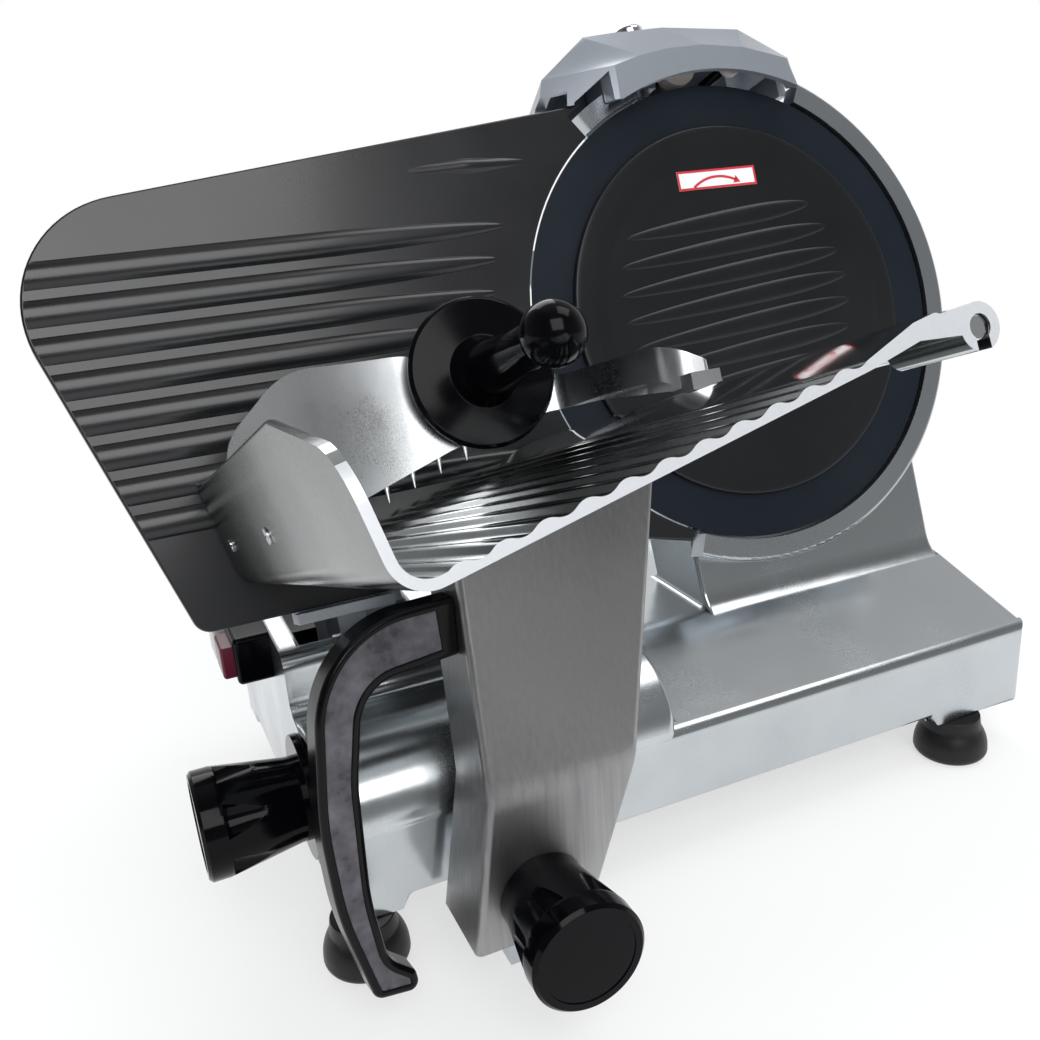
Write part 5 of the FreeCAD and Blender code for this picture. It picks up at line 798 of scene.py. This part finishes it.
@dataclass
class CarriageUnit:
    """The sliding carriage: block, link, arm, handle, clamp knob and food tray."""

    shop: Workshop
    edge_facing: float = 0.8
    # Which outer-wall faces get the painted shade: how far they face -X and how large they must be.
    painted_shade_facing: float = -0.5
    painted_shade_least_area: float = 4e-6

    def build(self) -> None:
        """Build every piece of the unit."""
        self.shop.soften("carriage_arm", BRUSHED_ARM, SOFT)
        self.shop.soften("handle_grip", GRIP_BLACK)
        self.shop.soften("handle_inlay", GREY_INLAY, Rounding(width=0.0004))
        self.food_tray()
        self.shop.soften("tray_screws", BRIGHT_STEEL, FINE)
        self.shop.soften("pusher_rod", POLISHED_STEEL)
        self.shop.soften("arm_knob", GLOSS_BLACK, Rounding(width=0.0007))
        self.shop.soften("arm_knob_stud", BRIGHT_STEEL, FINE)
        self.shop.soften("carriage_bushes", BRASS, FINE)
        self.shop.soften("carriage_roller", GLOSS_BLACK, FINE)
        self.shop.soften("carriage_block", SATIN_CASTING)

    def food_tray(self) -> None:
        """Give the tray its mirror inside, an outer wall with painted shade standing in for its
        dark reflections, and pale cut edges.
        """
        tray = self.shop.soften("food_tray", MIRROR_TRAY, Rounding(width=0.0006))
        near = blade_matrix().to_3x3() @ Vector(Z_AXIS)
        for finish in (TRAY_OUTSIDE_PAINTED_SHADE, TRAY_EDGE):
            tray.data.materials.append(finish.material())
        for face in tray.data.polygons:
            if face.normal.dot(near) > self.edge_facing:
                face.material_index = 2
            # Outer-wall faces take the painted-shade finish, a dark colour standing in for
            # reflections.
            elif face.normal.x < self.painted_shade_facing and face.area > self.painted_shade_least_area:
                face.material_index = 1


@dataclass
class PusherUnit:
    """The pusher on its rod: sleeve, bent arm with spikes, and the round handle."""

    shop: Workshop

    def build(self) -> None:
        """Build every piece of the unit."""
        self.shop.soften("pusher_arm", PUSHER_STEEL, Rounding(width=0.0008))
        self.shop.soften("pusher_spikes", POLISHED_STEEL, FINE)
        self.shop.soften("pusher_sleeve", POLISHED_STEEL)
        self.shop.soften("pusher_handle", GLOSS_BLACK)


@dataclass
class BaseUnit:
    """The casting with its feet, cover, rails, cord gland and screws."""

    shop: Workshop

    def build(self) -> None:
        """Build every piece of the unit."""
        self.shop.soften("base_casting", POLISHED_CASTING, CAST)
        self.shop.soften("rubber_feet", RUBBER)
        self.shop.soften("bottom_cover", SATIN_CASTING, FINE)
        self.shop.soften("casting_screws", BRIGHT_STEEL, FINE)
        self.shop.soften("carriage_slide_rod", POLISHED_STEEL)
        self.shop.soften("carriage_guide_bar", BRIGHT_STEEL)
        self.shop.soften("slice_deflector", SATIN_CASTING)
        self.shop.dress(GLOSS_BLACK, "cord_gland")


@dataclass
class DriveUnit:
    """Motor, belt and switch."""

    shop: Workshop
    spring_radius: float = 0.0035
    spring_wire: float = 0.0005
    spring_length: float = 0.0105
    spring_turns: int = 5

    def build(self) -> None:
        """Build every piece of the unit."""
        self.shop.soften("motor_body", MOTOR_CAST)
        self.shop.soften("motor_capacitor", PALE_PLASTIC)
        self.shop.soften("motor_pulley", BRIGHT_STEEL, FINE)
        self.shop.soften("drive_belt", RUBBER)
        self.shop.soften("switch_housing", GLOSS_BLACK)
        self.shop.soften("stop_button", MAROON)
        self.shop.soften("start_button", PALE_PLASTIC)
        for name in ("stop_spring", "start_spring"):
            low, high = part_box(name)
            place = axis_matrix(Vector((low.x, (low.y + high.y) / 2.0, (low.z + high.z) / 2.0)),
                                Vector((1.0, 0.0, 0.0)))
            CoilSpring(name, self.spring_radius, self.spring_wire, self.spring_length,
                       self.spring_turns, place).build(self.shop)


@dataclass
class Studio:
    """Floor, world, lamps and the camera at the photograph's angle."""

    eye: Vector = field(default_factory=lambda: Vector((-0.2422, -0.4925, 0.3455)))
    right: Vector = field(default_factory=lambda: Vector((0.9127, -0.4027, -0.0678)))
    up: Vector = field(default_factory=lambda: Vector((0.1972, 0.2892, 0.9368)))
    lens: float = 37.21
    floor_half: float = 8.0
    fade_from: float = 0.30
    fade_to: float = 1.0
    near_white: float = 0.6
    floor_colour: Colour = (0.90, 0.90, 0.90)
    floor_rough: float = 0.8
    aim: Vector = field(default_factory=lambda: Vector((0.0, 0.0, 0.15)))
    lamps: tuple[tuple[str, tuple[float, float, float], float, float], ...] = (
        ("key_lamp", (-0.25, -1.6, 1.5), 1.3, 22.0),
        ("fill_lamp", (1.1, -0.3, 2.5), 1.3, 16.0),
        ("back_lamp", (0.2, 1.9, 1.9), 1.6, 24.0))
    sky_colour: Colour = (0.95, 0.97, 1.0)
    sky_light: float = 0.70
    sky_levels: tuple[tuple[str, tuple[tuple[float, float], ...]], ...] = (
        ("X", ((0.02, 0.28), (0.28, 0.38), (0.43, 1.0), (1.0, 1.0))),
        ("Y", ((0.05, 0.22), (0.35, 0.38), (0.52, 0.80), (0.62, 1.0))),
        ("Z", ((0.0, 1.0), (0.58, 1.0), (0.70, 0.80), (0.85, 0.45), (1.0, 0.40))))

    def build(self) -> None:
        """Set up everything round the object."""
        scene = bpy.context.scene
        scene.view_settings.view_transform = "Standard"
        self._camera(scene)
        self._world(scene)
        self._floor()
        for name, place, size, power in self.lamps:
            self._lamp(name, Vector(place), size, power)

    def _camera(self, scene: bpy.types.Scene) -> None:
        """Put the camera where the photograph was taken from.

        Args:
            scene: The scene that gets it.
        """
        data = bpy.data.cameras.new("camera")
        data.lens = self.lens
        data.sensor_width = 36.0
        data.clip_start = 0.01
        camera = bpy.data.objects.new("camera", data)
        scene.collection.objects.link(camera)
        back = self.right.cross(self.up)
        turn = Matrix((self.right, self.up, back)).transposed().normalized()
        camera.matrix_world = Matrix.Translation(self.eye) @ turn.to_4x4()
        scene.camera = camera

    def _world(self, scene: bpy.types.Scene) -> None:
        """Make a world that is white to the camera, graded where it is mirrored, and a soft sky.

        Args:
            scene: The scene that gets it.
        """
        world = bpy.data.worlds.new("studio")
        world.use_nodes = True
        scene.world = world
        tree = world.node_tree
        tree.nodes.clear()
        output = tree.nodes.new("ShaderNodeOutputWorld")
        mix = tree.nodes.new("ShaderNodeMixShader")
        seen = tree.nodes.new("ShaderNodeBackground")
        light = tree.nodes.new("ShaderNodeBackground")
        light.inputs["Color"].default_value = (*self.sky_colour, 1.0)
        light.inputs["Strength"].default_value = self.sky_light
        coords = tree.nodes.new("ShaderNodeTexCoord")
        split = tree.nodes.new("ShaderNodeSeparateXYZ")
        tree.links.new(coords.outputs["Generated"], split.inputs["Vector"])
        level = None
        for axis, stops in self.sky_levels:
            ramp = self._ramp(tree, split.outputs[axis], stops)
            if level is None:
                level = ramp
                continue
            both = tree.nodes.new("ShaderNodeVectorMath")
            both.operation = "MULTIPLY"
            tree.links.new(level, both.inputs[0])
            tree.links.new(ramp, both.inputs[1])
            level = both.outputs["Vector"]
        path = tree.nodes.new("ShaderNodeLightPath")
        plain = tree.nodes.new("ShaderNodeVectorMath")
        plain.operation = "MAXIMUM"
        tree.links.new(level, plain.inputs[0])
        tree.links.new(path.outputs["Is Camera Ray"], plain.inputs[1])
        tree.links.new(plain.outputs["Vector"], seen.inputs["Color"])
        tree.links.new(self._seen_rays(tree), mix.inputs["Fac"])
        tree.links.new(light.outputs["Background"], mix.inputs[1])
        tree.links.new(seen.outputs["Background"], mix.inputs[2])
        tree.links.new(mix.outputs["Shader"], output.inputs["Surface"])

    def _ramp(self, tree: bpy.types.NodeTree, reach: bpy.types.NodeSocket,
              stops: Sequence[tuple[float, float]]) -> bpy.types.NodeSocket:
        """Return grey levels for a direction's share of an axis.

        Args:
            tree: The world's tree.
            reach: The share of the axis, from minus one to one.
            stops: Places from nought to one and their levels.

        Returns:
            The socket with the level.
        """
        half = tree.nodes.new("ShaderNodeMath")
        half.operation = "MULTIPLY_ADD"
        half.inputs[1].default_value = 0.5
        half.inputs[2].default_value = 0.5
        ramp = tree.nodes.new("ShaderNodeValToRGB")
        elements = ramp.color_ramp.elements
        while len(elements) < len(stops):
            elements.new(0.5)
        for element, (position, level) in zip(elements, stops):
            element.position = position
            element.color = (level, level, level, 1.0)
        tree.links.new(reach, half.inputs[0])
        tree.links.new(half.outputs["Value"], ramp.inputs["Fac"])
        return ramp.outputs["Color"]

    def _seen_rays(self, tree: bpy.types.NodeTree) -> bpy.types.NodeSocket:
        """Return a socket that is one for camera, glossy and transmission rays.

        Args:
            tree: The tree that needs it.

        Returns:
            The output socket.
        """
        path = tree.nodes.new("ShaderNodeLightPath")
        first = tree.nodes.new("ShaderNodeMath")
        first.operation = "MAXIMUM"
        second = tree.nodes.new("ShaderNodeMath")
        second.operation = "MAXIMUM"
        tree.links.new(path.outputs["Is Camera Ray"], first.inputs[0])
        tree.links.new(path.outputs["Is Glossy Ray"], first.inputs[1])
        tree.links.new(first.outputs["Value"], second.inputs[0])
        tree.links.new(path.outputs["Is Transmission Ray"], second.inputs[1])
        return second.outputs["Value"]

    def _floor(self) -> None:
        """Lay the pale floor, which shows the object's shadow and turns white with distance."""
        mesh = bpy.data.meshes.new("floor")
        shape = bmesh.new()
        bmesh.ops.create_grid(shape, x_segments=1, y_segments=1, size=self.floor_half)
        shape.to_mesh(mesh)
        shape.free()
        floor = bpy.data.objects.new("floor", mesh)
        bpy.context.scene.collection.objects.link(floor)
        material = bpy.data.materials.new("pale_floor")
        material.use_nodes = True
        tree = material.node_tree
        shader = tree.nodes["Principled BSDF"]
        shader.inputs["Base Color"].default_value = (*self.floor_colour, 1.0)
        shader.inputs["Roughness"].default_value = self.floor_rough
        shader.inputs["Specular IOR Level"].default_value = 0.0
        white = tree.nodes.new("ShaderNodeEmission")
        coords = tree.nodes.new("ShaderNodeTexCoord")
        reach = tree.nodes.new("ShaderNodeVectorMath")
        reach.operation = "LENGTH"
        fade = tree.nodes.new("ShaderNodeMapRange")
        fade.interpolation_type = "SMOOTHSTEP"
        fade.inputs["From Min"].default_value = self.fade_from
        fade.inputs["From Max"].default_value = self.fade_to
        fade.inputs["To Min"].default_value = self.near_white
        share = tree.nodes.new("ShaderNodeMath")
        share.operation = "MULTIPLY"
        mix = tree.nodes.new("ShaderNodeMixShader")
        tree.links.new(coords.outputs["Object"], reach.inputs[0])
        tree.links.new(reach.outputs["Value"], fade.inputs["Value"])
        tree.links.new(fade.outputs["Result"], share.inputs[0])
        tree.links.new(self._seen_rays(tree), share.inputs[1])
        tree.links.new(share.outputs["Value"], mix.inputs["Fac"])
        tree.links.new(shader.outputs["BSDF"], mix.inputs[1])
        tree.links.new(white.outputs["Emission"], mix.inputs[2])
        tree.links.new(mix.outputs["Shader"], tree.nodes["Material Output"].inputs["Surface"])
        mesh.materials.append(material)
        floor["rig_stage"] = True

    def _lamp(self, name: str, place: Vector, size: float, power: float) -> None:
        """Hang a square soft lamp that faces the object.

        Args:
            name: The lamp's name.
            place: Where it hangs.
            size: The length of its side.
            power: Its power in watts.
        """
        data = bpy.data.lights.new(name, "AREA")
        data.shape = "SQUARE"
        data.size = size
        data.energy = power
        lamp = bpy.data.objects.new(name, data)
        bpy.context.scene.collection.objects.link(lamp)
        lamp.matrix_world = axis_matrix(place, place - self.aim)


def corners() -> list[list[float]]:
    """Return the lowest and highest corner of the shown object as plain lists."""
    return [list(corner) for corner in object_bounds()]


def main() -> None:
    """Build the looks in order."""
    logging.basicConfig(level=logging.INFO, format="%(message)s")
    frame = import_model()
    Studio().build()
    shop = Workshop(frame)
    for unit in (BaseUnit, DriveUnit, BladeUnit, SharpenerUnit, GaugeUnit, CarriageUnit,
                 PusherUnit):
        unit(shop).build()
        log.info("%s is done", unit.__name__)


if __name__ == "__main__":
    main()
